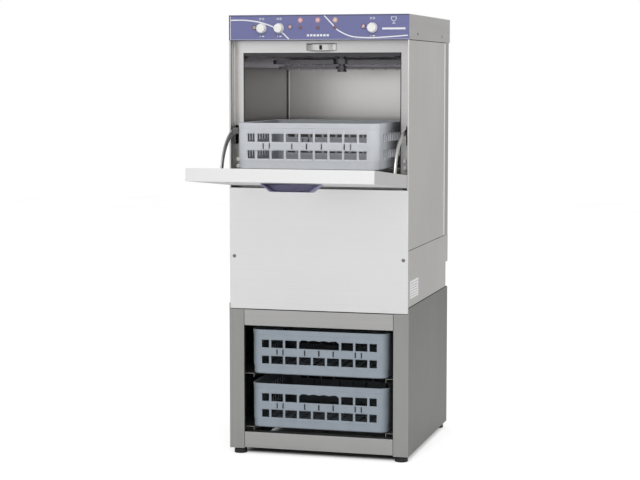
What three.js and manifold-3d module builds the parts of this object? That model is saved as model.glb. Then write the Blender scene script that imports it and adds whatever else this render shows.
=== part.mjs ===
// Front-loading glass washer on an open rack stand, built as separate pieces in one scene graph.
// Units are millimetres, +Z is up, the machine's front faces -Y and +X is to its right.
// The pieces are placed from the cabinet's front plane (Y = 0) and the floor (Z = 0). The whole
// group is then moved along Y, so that the origin is the centre of the footprint on the floor.

import * as THREE from "three";
import { mergeVertices } from "three/addons/utils/BufferGeometryUtils.js";
import Module from "manifold-3d";

const wasm = await Module();
wasm.setup();

// ---------------------------------------------------------------- driving dimensions

const SHEET = 1.2; // casing sheet
const PLATE = 1.7; // stand sheet
const FIT = 0.3; // gap kept between pieces that touch
const RUNNING = 0.5; // radial clearance of a turning piece

const FOOT_H = 15;
const FOOT_R = 16.5;
const FOOT_X = 210;
const FOOT_Y = [22, 467];

const STAND_HALF = 232;
const STAND_DEPTH = 489;
const STAND_TOP = 372; // top of the posts
const STAND_LIP = 387; // the side plates rise past the posts and hold the machine between them
const POST_FACE = 38.6;
const POST_LIP = 12;
const RAIL_DEPTH = 30;
const TOP_RAIL = [331, 371];
const BOTTOM_RAIL = [18, 58];
const GUIDE_TOPS = { lower: 70, upper: 207 };
const GUIDE_INNER = 171;

const HALF = 230; // half the machine's width
const DEPTH = 500;
const NOTCH_DEPTH = 472.8; // the foot of the back is set in, to leave room for the connections
const NOTCH_TOP = 455;
const BASE_BOTTOM = 373;
const SEAM = 529; // joint between the base pan's sides and the upper side panels
const SIDE_END = 453; // the side panels stop here, and the rear panel's returns carry on
const RETURN_INSET = 0.6;
const PANEL_TOP = 678.4; // top of the fixed front panel
const CASE_TOP = 1045.7;
const HOOD_BOTTOM = 1046;
const HEIGHT = 1108;
const HOOD_DEPTH = 513;
const HEM = 3.6; // folded front edge of a side panel
const HEM_DEPTH = 6;

const FRAME_Y = 34; // the front frame is set back by the door's thickness
const MOUTH_HALF = 203;
const MOUTH = [702, 1015];
const CHAMBER_HALF = 205;
const CHAMBER_Y = [36.2, 438];
const CHAMBER_TOP = 1007;
const TANK_RIM = 700;
const TANK_FLOOR = 640;
const SUMP = { halfWidth: 120, y: [150, 330], floor: 590 };
const CENTRE_Y = 237; // axis of the spray arms

const RACK_SIDE = 356;
const RACK_H = 113;
const RACK_R = 25;
const RACK_WALL = 5;
const RACK_BASE = { height: 22, inset: 2.5 }; // the foot of a rack nests in the rim of another
const RACK_FLOOR = 3;
const FLOOR_PITCH = 108; // nine square openings in the floor of a rack
const FLOOR_OPEN = 98;
const STORE_RACK_Y = 8;
const WASH_RACK_Y = -105; // the wash rack stands drawn out over the open door
const WASH_RACK_Z = 731;

const HINGE = { y: 8, z: 692 };
const OPEN_TILT = 4.9; // the open door stops this far short of level
const DOOR_HALF = 226;
const DOOR_BELOW = 10; // door below the hinge axis when closed
const DOOR_ABOVE = 351;
const DOOR_THICK = 31;
const DOOR_SKIN = -HINGE.y; // outer face, from the hinge axis
const LINER_HALF = 215;
const LINER_FOOT_HALF = 204; // the liner is narrower beside the hinge brackets
const LINER_STEP = 95;
const LINER_Y = [3, 22];
const DISH_HALF = 195;
const DISH_Z = [10, 326];
const POCKET_HALF = 42;
const PIN_R = 3;

const STAY_R = { atDoor: 106.5, perDegree: 0.25 }; // the curved stay arms widen away from the door
const STAY_WIDE = 15;
const STAY_X = [216.8, 220];
const STAY_ANGLES = [-25, 91]; // degrees from +Y, with the door closed

const HANDLE = { at: 240, base: 150, tip: 102, out: 19, high: 28, wall: 3 };

const STRIKE_TIP = 29.2; // how far in the closed door's strike reaches, just short of the switch
const CATCH = { half: 38.5, z: [1018, 1038], out: 7.7, slotHalf: 3.5, slot: [1022.5, 1033.5] };

const KNOB_R = 12.7;
const KNOB_DEPTH = 15;
const KNOB_Z = 1075;
const KNOBS = { knob_left: -144.2, knob_centre: -99.3, knob_right: 138.1 };
const SPINDLE_R = 3;
const SWITCH_Y = 14;

const PUMP = { y: 150, z: 450, motorR: 45, shaftR: 6, chamberR: 44, impellerR: 38 };
const BOILER = { x: [-200, 40], y: 330, z: 440, r: 55, wall: 2 };
const DRAIN = { x: 80, y: 290, z: 415, r: 13 };
const INLET = { x: -80, z: 415, r: 12 };
const GLAND = { x: 0, z: 415, r: 9 };
const REAR_OUT = 488; // how far back the connections reach inside the notch

// ---------------------------------------------------------------- finishes

const finish = (color, roughness, metalness) =>
  new THREE.MeshStandardMaterial({ color, roughness, metalness });

const steel = finish(0xb9b8b4, 0.35, 0.9);
const brightSteel = finish(0xdedede, 0.3, 0.85);
const darkSteel = finish(0x7a7b76, 0.5, 0.8);
const fasciaBlue = finish(0x5a5c98, 0.4, 0.1);
const rackGrey = finish(0xa3adb6, 0.55, 0);
const knobCream = finish(0xe9e7dd, 0.4, 0);
const blackPlastic = finish(0x1b1b1c, 0.6, 0);
const rubber = finish(0x2a2a2a, 0.8, 0);
const greyPlastic = finish(0x6c7078, 0.5, 0);
const motorPaint = finish(0x3c4a5c, 0.5, 0.3);
const bluePlastic = finish(0x3f6fb0, 0.45, 0);

// ---------------------------------------------------------------- shape helpers

const RAD = Math.PI / 180;

// A closed geometry as a manifold solid, with its shared corners merged.
function solid(geometry) {
  const bare = geometry.clone();
  bare.deleteAttribute("normal");
  bare.deleteAttribute("uv");
  const merged = mergeVertices(bare, 1e-4);
  const mesh = new wasm.Mesh({
    numProp: 3,
    vertProperties: new Float32Array(merged.attributes.position.array),
    triVerts: new Uint32Array(merged.index.array),
  });
  return new wasm.Manifold(mesh);
}

function geometryOf(body) {
  const mesh = body.getMesh();
  const geometry = new THREE.BufferGeometry();
  geometry.setAttribute("position", new THREE.BufferAttribute(mesh.vertProperties, 3));
  geometry.setIndex(new THREE.BufferAttribute(mesh.triVerts, 1));
  const flat = geometry.toNonIndexed();
  flat.computeVertexNormals();
  return flat;
}

const join = (...pieces) => geometryOf(pieces.map(solid).reduce((sum, next) => sum.add(next)));

const cut = (piece, ...tools) =>
  geometryOf(tools.map(solid).reduce((rest, tool) => rest.subtract(tool), solid(piece)));

// A box from its limits along X, Y and Z, each given in either order.
function box([x0, x1], [y0, y1], [z0, z1]) {
  const size = [Math.abs(x1 - x0), Math.abs(y1 - y0), Math.abs(z1 - z0)];
  return new THREE.BoxGeometry(...size).translate((x0 + x1) / 2, (y0 + y1) / 2, (z0 + z1) / 2);
}

// The range from a to b on one side of the machine: side is -1 for left and 1 for right.
const across = (side, a, b) => [side * a, side * b];

function outline(points) {
  return new THREE.Shape(points.map(([u, v]) => new THREE.Vector2(u, v)));
}

// Extrudes a flat outline, given in (X, Y), from z0 to z1.
function upright(shape, z0, z1, curveSegments = 6) {
  const options = { depth: z1 - z0, bevelEnabled: false, curveSegments };
  return new THREE.ExtrudeGeometry(shape, options).translate(0, 0, z0);
}

// Extrudes an outline given in (Y, Z) along X.
function sideways(shape, x0, x1, curveSegments = 6) {
  const low = Math.min(x0, x1);
  const options = { depth: Math.abs(x1 - x0), bevelEnabled: false, curveSegments };
  const turn = new THREE.Matrix4().makeBasis(
    new THREE.Vector3(0, 1, 0),
    new THREE.Vector3(0, 0, 1),
    new THREE.Vector3(1, 0, 0),
  );
  return new THREE.ExtrudeGeometry(shape, options).applyMatrix4(turn).translate(low, 0, 0);
}

// Extrudes an outline given in (X, Z) from y0 back to y1.
function backwards(shape, y0, y1, curveSegments = 6) {
  const options = { depth: y1 - y0, bevelEnabled: false, curveSegments };
  return new THREE.ExtrudeGeometry(shape, options).rotateX(90 * RAD).translate(0, y1, 0);
}

// Turns a profile of (radius, height) points about a vertical axis at (x, y).
function turned(points, x = 0, y = 0, segments = 20) {
  const profile = points.map(([r, h]) => new THREE.Vector2(r, h));
  return new THREE.LatheGeometry(profile, segments).rotateX(90 * RAD).translate(x, y, 0);
}

const rodZ = (r, z0, z1, x, y, segments = 20) =>
  turned([[0, z0], [r, z0], [r, z1], [0, z1]], x, y, segments);

const rodX = (r, x0, x1, y, z, segments = 16) =>
  rodZ(r, Math.min(x0, x1), Math.max(x0, x1), 0, 0, segments).rotateY(90 * RAD).translate(0, y, z);

const rodY = (r, y0, y1, x, z, segments = 16) =>
  rodZ(r, -y1, -y0, 0, 0, segments).rotateX(90 * RAD).translate(x, 0, z);

// A round rod or pipe along a path of straight runs with rounded corners.
function pipe(points, r, bend, sides = 8) {
  const corners = points.map((p) => new THREE.Vector3(...p));
  const path = new THREE.CurvePath();
  let from = corners[0];
  for (let i = 1; i < corners.length; i++) {
    const corner = corners[i];
    if (i === corners.length - 1) {
      path.add(new THREE.LineCurve3(from, corner));
      break;
    }
    const before = corner.clone().add(from.clone().sub(corner).setLength(bend));
    const after = corner.clone().add(corners[i + 1].clone().sub(corner).setLength(bend));
    path.add(new THREE.LineCurve3(from, before));
    path.add(new THREE.QuadraticBezierCurve3(before, corner, after));
    from = after;
  }
  const section = new THREE.Shape().absarc(0, 0, r, 0, 2 * Math.PI);
  const steps = 7 * (points.length - 1);
  return new THREE.ExtrudeGeometry(section, {
    steps,
    extrudePath: path,
    curveSegments: sides / 2,
  });
}

function roundedSquare(side, r) {
  const h = side / 2;
  const shape = new THREE.Shape();
  shape.absarc(h - r, h - r, r, 0, 90 * RAD);
  shape.absarc(r - h, h - r, r, 90 * RAD, 180 * RAD);
  shape.absarc(r - h, r - h, r, 180 * RAD, 270 * RAD);
  shape.absarc(h - r, r - h, r, 270 * RAD, 360 * RAD);
  return shape;
}

function part(parent, name, geometry, material) {
  const mesh = new THREE.Mesh(geometry, material);
  mesh.name = name;
  parent.add(mesh);
  return mesh;
}

// ---------------------------------------------------------------- stand

function standSide(side) {
  const outer = STAND_HALF;
  const inner = outer - PLATE;
  const face = outer - POST_FACE;
  return join(
    box(across(side, inner, outer), [0, STAND_DEPTH], [FOOT_H, STAND_LIP]),
    box(across(side, face, outer), [0, PLATE], [FOOT_H, STAND_TOP]),
    box(across(side, face, face + PLATE), [0, POST_LIP], [FOOT_H, STAND_TOP - 1]),
    box(across(side, outer - 20, outer), [STAND_DEPTH - PLATE, STAND_DEPTH], [FOOT_H, STAND_TOP]),
    box(across(side, face, outer), [0, STAND_DEPTH], [FOOT_H, FOOT_H + PLATE]),
  );
}

function channelRail([low, high]) {
  const t = 1.5;
  const half = STAND_HALF - POST_FACE - FIT;
  const section = outline([
    [0, low], [RAIL_DEPTH, low], [RAIL_DEPTH, low + t], [t, low + t],
    [t, high - t], [RAIL_DEPTH, high - t], [RAIL_DEPTH, high], [0, high],
  ]);
  return sideways(section, -half, half);
}

function topFrame() {
  const half = STAND_HALF - PLATE - FIT;
  const front = PLATE + FIT;
  const rear = STAND_DEPTH - PLATE - FIT;
  const z = [STAND_TOP - 0.7, BASE_BOTTOM - FIT];
  return cut(
    box([-half, half], [front, rear], z),
    box([-190, 190], [front + RAIL_DEPTH, rear - RAIL_DEPTH], [z[0] - 1, z[1] + 1]),
  );
}

function rackGuide(side, top) {
  const t = 1.5;
  const wall = STAND_HALF - PLATE - FIT;
  const section = [
    [GUIDE_INNER, top - 10], [GUIDE_INNER + t, top - 10], [GUIDE_INNER + t, top - t],
    [wall, top - t], [wall, top + 20], [wall - t, top + 20], [wall - t, top], [GUIDE_INNER, top],
  ];
  const points = section.map(([x, z]) => [side * x, z]);
  return backwards(outline(points), POST_LIP + 1, STAND_DEPTH - 6);
}

function foot(x, y) {
  const top = FOOT_H - FIT;
  return turned([[0, 0], [FOOT_R, 0], [FOOT_R, 9], [FOOT_R - 4, top], [0, top]], x, y, 18);
}

function addStand(parent) {
  const rear = STAND_DEPTH - PLATE - FIT;
  for (const [name, side] of [["left", -1], ["right", 1]]) {
    part(parent, `stand_${name}_side`, standSide(side), darkSteel);
    for (const level of ["lower", "upper"]) {
      part(parent, `${level}_${name}_guide`, rackGuide(side, GUIDE_TOPS[level]), darkSteel);
    }
    part(parent, `foot_front_${name}`, foot(side * FOOT_X, FOOT_Y[0]), blackPlastic);
    part(parent, `foot_rear_${name}`, foot(side * FOOT_X, FOOT_Y[1]), blackPlastic);
  }
  const half = STAND_HALF - PLATE - FIT;
  const back = box([-half, half], [rear - 1.5, rear], [FOOT_H + 2, STAND_TOP - 1.2]);
  part(parent, "stand_back_panel", back, darkSteel);
  part(parent, "stand_top_rail", channelRail(TOP_RAIL), darkSteel);
  part(parent, "stand_bottom_rail", channelRail(BOTTOM_RAIL), darkSteel);
  part(parent, "stand_top_frame", topFrame(), darkSteel);
}

// ---------------------------------------------------------------- casing

function basePan() {
  const sidePlate = outline([
    [1.5, BASE_BOTTOM], [NOTCH_DEPTH, BASE_BOTTOM], [NOTCH_DEPTH, NOTCH_TOP],
    [DEPTH, NOTCH_TOP], [DEPTH, SEAM - 0.2], [1.5, SEAM - 0.2],
  ]);
  return join(
    box([-HALF, HALF], [1.5, NOTCH_DEPTH], [BASE_BOTTOM, BASE_BOTTOM + SHEET]),
    sideways(sidePlate, -HALF, -HALF + SHEET),
    sideways(sidePlate, HALF - SHEET, HALF),
  );
}

function sidePanel(side) {
  const foldBottom = PANEL_TOP + 0.6;
  const plate = outline([
    [1.5, SEAM + 0.2], [SIDE_END, SEAM + 0.2], [SIDE_END, CASE_TOP],
    [0, CASE_TOP], [0, foldBottom], [1.5, foldBottom],
  ]);
  return join(
    sideways(plate, side * (HALF - SHEET), side * HALF),
    box(across(side, HALF - HEM, HALF), [0, HEM_DEPTH], [foldBottom, CASE_TOP]),
  );
}

function frontPanel() {
  const t = SHEET;
  const inner = HALF - SHEET - FIT;
  return join(
    box([-HALF, HALF], [0, t], [BASE_BOTTOM + FIT, PANEL_TOP]),
    box([-inner, inner], [0, 20], [PANEL_TOP - t, PANEL_TOP]),
    box([-inner, inner], [0, 12], [BASE_BOTTOM + 1.5, BASE_BOTTOM + 1.5 + t]),
  );
}

function rearPanel() {
  const t = SHEET;
  const half = HALF - SHEET - FIT;
  const section = outline([
    [NOTCH_DEPTH - t, BASE_BOTTOM + 1.5], [NOTCH_DEPTH, BASE_BOTTOM + 1.5],
    [NOTCH_DEPTH, NOTCH_TOP], [DEPTH, NOTCH_TOP], [DEPTH, CASE_TOP],
    [DEPTH - t, CASE_TOP], [DEPTH - t, NOTCH_TOP + t], [NOTCH_DEPTH - t, NOTCH_TOP + t],
  ]);
  const outlets = [DRAIN, INLET, GLAND].map(({ x, z, r }) =>
    rodY(r + RUNNING, NOTCH_DEPTH - 10, NOTCH_DEPTH + 10, x, z),
  );
  const outer = HALF - RETURN_INSET;
  const returns = [-1, 1].map((side) =>
    box(across(side, outer - t, outer), [SIDE_END + FIT, DEPTH], [SEAM + 0.2, CASE_TOP]),
  );
  return cut(join(sideways(section, -half, half), ...returns), ...outlets);
}

function topCover() {
  const t = 1.5;
  return cut(
    box([-HALF, HALF], [t + FIT, HOOD_DEPTH], [HOOD_BOTTOM, HEIGHT]),
    box([t - HALF, HALF - t], [-10, HOOD_DEPTH - t], [HOOD_BOTTOM - 10, HEIGHT - t]),
  );
}

function controlPanel() {
  const t = 1.5;
  const inner = HALF - t - FIT;
  const shafts = Object.values(KNOBS).map((x) => rodY(SPINDLE_R + RUNNING, -5, 10, x, KNOB_Z));
  return cut(
    join(
      box([-HALF, HALF], [0, t], [HOOD_BOTTOM, HEIGHT]),
      box([-inner, inner], [0, 12], [HEIGHT - 2 * t - FIT, HEIGHT - t - FIT]),
      box([-inner, inner], [0, 20], [HOOD_BOTTOM, HOOD_BOTTOM + t]),
    ),
    ...shafts,
  );
}

function frontFrame() {
  const half = HALF - SHEET - FIT - 0.1;
  const y = [FRAME_Y, FRAME_Y + SHEET];
  const through = [FRAME_Y - 5, FRAME_Y + 5];
  const staySlot = [787, 834];
  return cut(
    box([-half, half], y, [PANEL_TOP + 1.6, CASE_TOP]),
    box([-MOUTH_HALF, MOUTH_HALF], through, MOUTH),
    box([STAY_X[0] - 1.7, half + 5], through, staySlot),
    box([-half - 5, 1.7 - STAY_X[0]], through, staySlot),
    box([-4.5, 4.5], through, [CATCH.slot[0], CATCH.slot[1]]),
  );
}

function catchHousing() {
  const y = [FRAME_Y - FIT - CATCH.out, FRAME_Y - FIT];
  return cut(
    box([-CATCH.half, CATCH.half], y, CATCH.z),
    box([-CATCH.slotHalf, CATCH.slotHalf], [y[0] - 5, y[1] + 5], CATCH.slot),
  );
}

// The bracket is bolted to the front frame and carries the door's pin on its ear.
function hingeBracket(side) {
  const flangeBack = FRAME_Y - FIT;
  const nuts = [732, 749].map((z) => rodY(4.5, 24, flangeBack - 1, side * 215, z, 6));
  return join(
    box(across(side, 207, 222), [flangeBack - 2, flangeBack], [686, 775]),
    box(across(side, 219.5, 222), [HINGE.y - 3.6, flangeBack], [HINGE.z - 4, HINGE.z + 4]),
    rodX(PIN_R, side * 217, side * 225.8, HINGE.y, HINGE.z, 12),
    ...nuts,
  );
}

function addCasing(parent) {
  part(parent, "base_pan", basePan(), steel);
  part(parent, "left_side_panel", sidePanel(-1), steel);
  part(parent, "right_side_panel", sidePanel(1), steel);
  part(parent, "front_panel", frontPanel(), brightSteel);
  part(parent, "rear_panel", rearPanel(), steel);
  part(parent, "top_cover", topCover(), steel);
  part(parent, "control_panel", controlPanel(), fasciaBlue);
  part(parent, "front_frame", frontFrame(), steel);
  part(parent, "catch_housing", catchHousing(), steel);
  part(parent, "left_hinge_bracket", hingeBracket(-1), steel);
  part(parent, "right_hinge_bracket", hingeBracket(1), steel);
  const sillY = [FRAME_Y - FIT - 2, FRAME_Y - FIT];
  part(parent, "door_seal", box([-200, 200], sillY, [686, 698]), rubber);
}

// ---------------------------------------------------------------- wash chamber and its plumbing

function washChamber() {
  const t = 1.2;
  const [front, back] = CHAMBER_Y;
  const outer = CHAMBER_HALF + t;
  return cut(
    box([-outer, outer], [front, back + t], [TANK_RIM + FIT, CHAMBER_TOP + t]),
    box([-CHAMBER_HALF, CHAMBER_HALF], [front - 10, back], [TANK_RIM - 10, CHAMBER_TOP]),
    rodZ(12.6, CHAMBER_TOP - 10, CHAMBER_TOP + 10, 0, CENTRE_Y),
  );
}

function rackSupport() {
  const t = 1.2;
  const wall = CHAMBER_HALF - FIT;
  const top = WASH_RACK_Z - FIT;
  const y = [CHAMBER_Y[0] + 4, CHAMBER_Y[1] - FIT];
  const legs = [-1, 1].flatMap((side) => [
    box(across(side, 170, wall), y, [top - t, top]),
    box(across(side, wall - t, wall), y, [716, top]),
  ]);
  const bar = wall - t / 2;
  return join(...legs, box([-bar, bar], [y[1] - t, y[1] + 0.1], [717, 745]));
}

function washTank() {
  const t = 1.2;
  const half = CHAMBER_HALF + t;
  const [front, back] = [CHAMBER_Y[0] + FIT, CHAMBER_Y[1] + t];
  const { halfWidth, y, floor } = SUMP;
  const body = join(
    box([-half, half], [front, back], [TANK_FLOOR, TANK_RIM]),
    box([-halfWidth, halfWidth], y, [floor, TANK_RIM - 20]),
  );
  return cut(
    body,
    box([t - half, half - t], [front + t, back - t], [TANK_FLOOR + t, TANK_RIM + 10]),
    box([t - halfWidth, halfWidth - t], [y[0] + t, y[1] - t], [floor + t, TANK_RIM + 10]),
    rodZ(14, floor - 10, floor + 10, 0, CENTRE_Y),
    rodZ(10, floor - 10, floor + 10, DRAIN.x, DRAIN.y),
  );
}

function tankFilter() {
  const half = CHAMBER_HALF - 5;
  const z = [660, 661.5];
  return cut(
    box([-half, half], [CHAMBER_Y[0] + 8, CHAMBER_Y[1] - 8], z),
    rodZ(16, z[0] - 5, z[1] + 5, 0, CENTRE_Y),
    rodZ(16, z[0] - 5, z[1] + 5, DRAIN.x, DRAIN.y),
  );
}

function overflowPipe() {
  const base = SUMP.floor + SHEET + FIT;
  const profile = [
    [8, base], [14, base], [14, 688], [11, 688], [11, base + 12], [8, base + 12], [8, base],
  ];
  return turned(profile, DRAIN.x, DRAIN.y, 16);
}

// The post that feeds the lower arms: it stands through the sump's floor, and a collar and a cap
// keep the two arms on it.
function lowerSpindle() {
  const profile = [
    [0, 560], [13, 560], [13, 692], [8, 692], [8, 715.6], [12, 715.6], [12, 722], [0, 722],
  ];
  return turned(profile, 0, CENTRE_Y);
}

// The pipe that feeds the upper arms, with the post that carries them under the ceiling.
function upperFeedPipe() {
  const profile = [
    [0, 968], [12, 968], [12, 974], [8, 974], [8, 1003], [12, 1003], [12, 1030], [0, 1030],
  ];
  const run = [[0, CENTRE_Y, 1022], [0, 462, 1022], [0, 462, 560], [60, 420, 520]];
  return join(turned(profile, 0, CENTRE_Y), pipe(run, 11, 24));
}

// A spray arm on its own vertical axis at the origin, from z = 0 up to its height.
function sprayArm(reach, width, height, hubR) {
  const boreR = 8 + RUNNING;
  const tipR = width / 2;
  const blade = new THREE.Shape();
  blade.absarc(reach - tipR, 0, tipR, -90 * RAD, 90 * RAD);
  blade.absarc(tipR - reach, 0, tipR, 90 * RAD, 270 * RAD);
  return cut(
    join(upright(blade, 0, height * 0.8, 5), rodZ(hubR, 0, height, 0, 0)),
    rodZ(boreR, -5, height + 5, 0, 0),
  );
}

function addChamber(parent) {
  part(parent, "wash_chamber", washChamber(), steel);
  part(parent, "rack_support", rackSupport(), steel);
  part(parent, "wash_tank", washTank(), steel);
  part(parent, "tank_filter", tankFilter(), steel);
  part(parent, "overflow_pipe", overflowPipe(), greyPlastic);
  part(parent, "lower_spindle", lowerSpindle(), steel);
  part(parent, "upper_feed_pipe", upperFeedPipe(), steel);
  const arms = [
    ["lower_wash_arm", 185, 30, 14, 24, 692.5, steel],
    ["lower_rinse_arm", 170, 16, 8, 16, 707, steel],
    ["upper_rinse_arm", 170, 16, 8, 16, 975, steel],
    ["upper_wash_arm", 185, 30, 14, 24, 988, steel],
  ];
  for (const [name, reach, width, height, hubR, z, material] of arms) {
    const arm = part(parent, name, sprayArm(reach, width, height, hubR), material);
    arm.position.set(0, CENTRE_Y, z);
  }
}

// ---------------------------------------------------------------- works in the base

// The pump stands on a shaft along X: a motor, a housing with an open inlet, and the impeller.
function addPump(parent) {
  const pump = new THREE.Group();
  pump.position.set(0, PUMP.y, PUMP.z);
  pump.rotation.y = 90 * RAD; // local Z runs along X
  parent.add(pump);
  const { motorR, shaftR, chamberR, impellerR } = PUMP;
  const housing = [
    [shaftR + 1, 0], [chamberR + 8, 0], [chamberR + 8, 42], [24, 46], [24, 60], [19, 60],
    [19, 38], [chamberR, 38], [chamberR, 6], [shaftR + 1, 6], [shaftR + 1, 0],
  ];
  part(pump, "pump_housing", turned(housing, 0, 0, 20), greyPlastic);
  const motor = join(
    turned([[0, -112], [motorR, -112], [motorR, -FIT], [0, -FIT]], 0, 0, 20),
    box([-30, 30], [-28, 28], [-100, -20]).translate(PUMP.z - BASE_BOTTOM - 33, 0, 0),
  );
  const bore = rodZ(shaftR + RUNNING, -40, 10, 0, 0, 12);
  part(pump, "pump_motor", cut(motor, bore), motorPaint);
  const vanes = [0, 45, 90, 135].map((turn) =>
    box([-impellerR, impellerR], [-2, 2], [12, 30]).rotateZ(turn * RAD),
  );
  const wheel = join(
    rodZ(shaftR, -36, 12, 0, 0, 12),
    rodZ(impellerR, 9, 13, 0, 0, 20),
    rodZ(11, 12, 30, 0, 0, 12),
    ...vanes,
  );
  part(pump, "pump_impeller", wheel, greyPlastic);
}

// A lying tank on two saddles, with its inside open through the port on its flange.
function boiler() {
  const { x, y, z, r, wall } = BOILER;
  const shell = join(
    rodX(r, x[0], x[1], y, z, 20),
    rodX(22, x[1] - 1, x[1] + 14, y, z, 12),
    box([x[0] + 30, x[0] + 50], [y - 30, y + 30], [BASE_BOTTOM + 1.5, z]),
    box([x[1] - 50, x[1] - 30], [y - 30, y + 30], [BASE_BOTTOM + 1.5, z]),
  );
  const inside = rodX(r - wall, x[0] + wall, x[1] - wall, y, z, 20);
  return cut(shell, inside, rodX(8, x[1] - 10, x[1] + 20, y, z, 12));
}

function tankElement() {
  const z = SUMP.floor + 24;
  const back = SUMP.y[1] - 8;
  const front = SUMP.y[0] + 30;
  return pipe([[-100, back, z], [-100, front, z], [-56, front, z], [-56, back, z]], 4.2, 20, 8);
}

function fillValve() {
  const { x, z, r } = INLET;
  return join(
    box([x - 22, x + 22], [425, 462], [z - 18, z + 18]),
    rodZ(13, z + 17, z + 52, x, 442, 14),
    rodY(r, 461, REAR_OUT, x, z),
  );
}

function drainPipe() {
  const { x, y, z, r } = DRAIN;
  return pipe([[x, y, SUMP.floor - FIT], [x, y, z], [x, REAR_OUT, z]], r, 40);
}

function cableGland() {
  const { x, z, r } = GLAND;
  return join(
    rodY(r, 462, REAR_OUT - 2, x, z, 12),
    rodY(r + 4, NOTCH_DEPTH + FIT, NOTCH_DEPTH + 6, x, z, 6),
  );
}

function electricsBoard() {
  const plate = box([70, 215], [40, 42], [400, 560]);
  const contactors = [0, 1, 2].map((i) =>
    box([80 + 44 * i, 116 + 44 * i], [41, 78], [500, 550]),
  );
  const terminals = box([80, 204], [41, 60], [412, 430]);
  return join(plate, terminals, ...contactors);
}

function switchBlock() {
  const plate = box([-175, 170], [SWITCH_Y, SWITCH_Y + 2], [KNOB_Z - 18, KNOB_Z + 18]);
  const bodies = Object.values(KNOBS).map((x) =>
    box([x - 15, x + 15], [SWITCH_Y + 1, SWITCH_Y + 38], [KNOB_Z - 15, KNOB_Z + 15]),
  );
  return join(plate, ...bodies);
}

function addWorks(parent) {
  addPump(parent);
  part(parent, "boiler", boiler(), steel);
  part(parent, "tank_element", tankElement(), darkSteel);
  part(parent, "fill_valve", fillValve(), bluePlastic);
  part(parent, "drain_pipe", drainPipe(), greyPlastic);
  part(parent, "cable_gland", cableGland(), blackPlastic);
  part(parent, "electrics_board", electricsBoard(), greyPlastic);
  part(parent, "switch_block", switchBlock(), blackPlastic);
}

// ---------------------------------------------------------------- door
// Every piece of the door is drawn closed, from the hinge axis: y inwards and z up.

function doorOuterPanel() {
  const t = SHEET;
  const y = [DOOR_SKIN, DOOR_SKIN + DOOR_THICK];
  const z = [-DOOR_BELOW, DOOR_ABOVE];
  const hollow = cut(
    box([-DOOR_HALF, DOOR_HALF], y, z),
    box([t - DOOR_HALF, DOOR_HALF - t], [y[0] + t, y[1] + 5], [z[0] + t, z[1] - t]),
    rodX(PIN_R + RUNNING, -DOOR_HALF - 5, DOOR_HALF + 5, 0, 0, 12),
  );
  // Near the hinge the flanges are low, and the bottom one ends short of the hinge brackets.
  const foot = [z[0] - 5, z[0] + t + 0.1];
  return cut(
    hollow,
    box([-DOOR_HALF - 5, DOOR_HALF + 5], [13, y[1] + 5], [z[0] - 5, 3]),
    box([205, DOOR_HALF - t], [y[0] + t, y[1] + 5], foot),
    box([t - DOOR_HALF, -205], [y[0] + t, y[1] + 5], foot),
  );
}

function doorInnerPanel() {
  const t = SHEET;
  const [front, back] = LINER_Y;
  const z = [-2, DOOR_ABOVE - 1.5];
  const dish = (grow) => [
    box([-DISH_HALF - grow, DISH_HALF + grow], [front + t - grow, 60], [DISH_Z[0] - grow, DISH_Z[1] + grow]),
    box([-POCKET_HALF - grow, POCKET_HALF + grow], [front + t - grow, 60], [300, z[1] - 1.3 + grow]),
  ];
  const block = join(
    box([-LINER_HALF, LINER_HALF], [front, back], [LINER_STEP, z[1]]),
    box([-LINER_FOOT_HALF, LINER_FOOT_HALF], [front, back], [z[0], LINER_STEP + 10]),
  );
  const rearHollow = cut(
    join(
      box([t - LINER_HALF, LINER_HALF - t], [front - 5, back - t], [LINER_STEP + t, z[1] - t]),
      box([t - LINER_FOOT_HALF, LINER_FOOT_HALF - t], [front - 5, back - t], [z[0] + t, LINER_STEP + 10]),
    ),
    ...dish(t),
  );
  return cut(block, ...dish(0), rearHollow);
}

function doorHandle() {
  const { at, base, tip, out, high, wall } = HANDLE;
  const face = DOOR_SKIN - FIT;
  const trapezoid = (inset, depth) =>
    outline([
      [inset - base / 2, face], [inset - tip / 2, face - depth],
      [tip / 2 - inset, face - depth], [base / 2 - inset, face],
    ].reverse());
  return cut(
    upright(trapezoid(0, out), at - high / 2, at + high / 2),
    upright(trapezoid(wall + 2, out - wall), at - high / 2 + wall, at + high),
  );
}

function stayArm(side) {
  const [from, to] = STAY_ANGLES;
  const steps = 14;
  const edge = (offset) =>
    Array.from({ length: steps + 1 }, (_, i) => {
      const angle = from + ((to - from) * i) / steps;
      const r = STAY_R.atDoor + STAY_R.perDegree * (to - angle) + offset;
      return [r * Math.cos(angle * RAD), r * Math.sin(angle * RAD)];
    });
  const half = STAY_WIDE / 2;
  const curve = outline([...edge(half), ...edge(-half).reverse()]);
  const low = STAY_R.atDoor - half;
  const foot = box(across(side, STAY_X[0], DOOR_HALF - SHEET - FIT), [-5, 6], [low, low + STAY_WIDE]);
  return join(sideways(curve, side * STAY_X[0], side * STAY_X[1]), foot);
}

function doorStrike() {
  const seat = LINER_Y[0] + SHEET + FIT;
  const middle = (CATCH.slot[0] + CATCH.slot[1]) / 2 - HINGE.z;
  return join(
    box([-12, 12], [seat, seat + 2], [middle - 9, middle + 9]),
    box([-2.5, 2.5], [seat, STRIKE_TIP - HINGE.y], [middle - 4, middle + 4]),
  );
}

function addDoor(parent) {
  const door = new THREE.Group();
  door.position.set(0, HINGE.y, HINGE.z);
  door.rotation.x = (90 - OPEN_TILT) * RAD;
  parent.add(door);
  part(door, "door_outer_panel", doorOuterPanel(), brightSteel);
  part(door, "door_inner_panel", doorInnerPanel(), steel);
  part(door, "door_handle", doorHandle(), fasciaBlue);
  part(door, "door_strike", doorStrike(), steel);
  part(door, "left_stay_arm", stayArm(-1), steel);
  part(door, "right_stay_arm", stayArm(1), steel);
}

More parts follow.
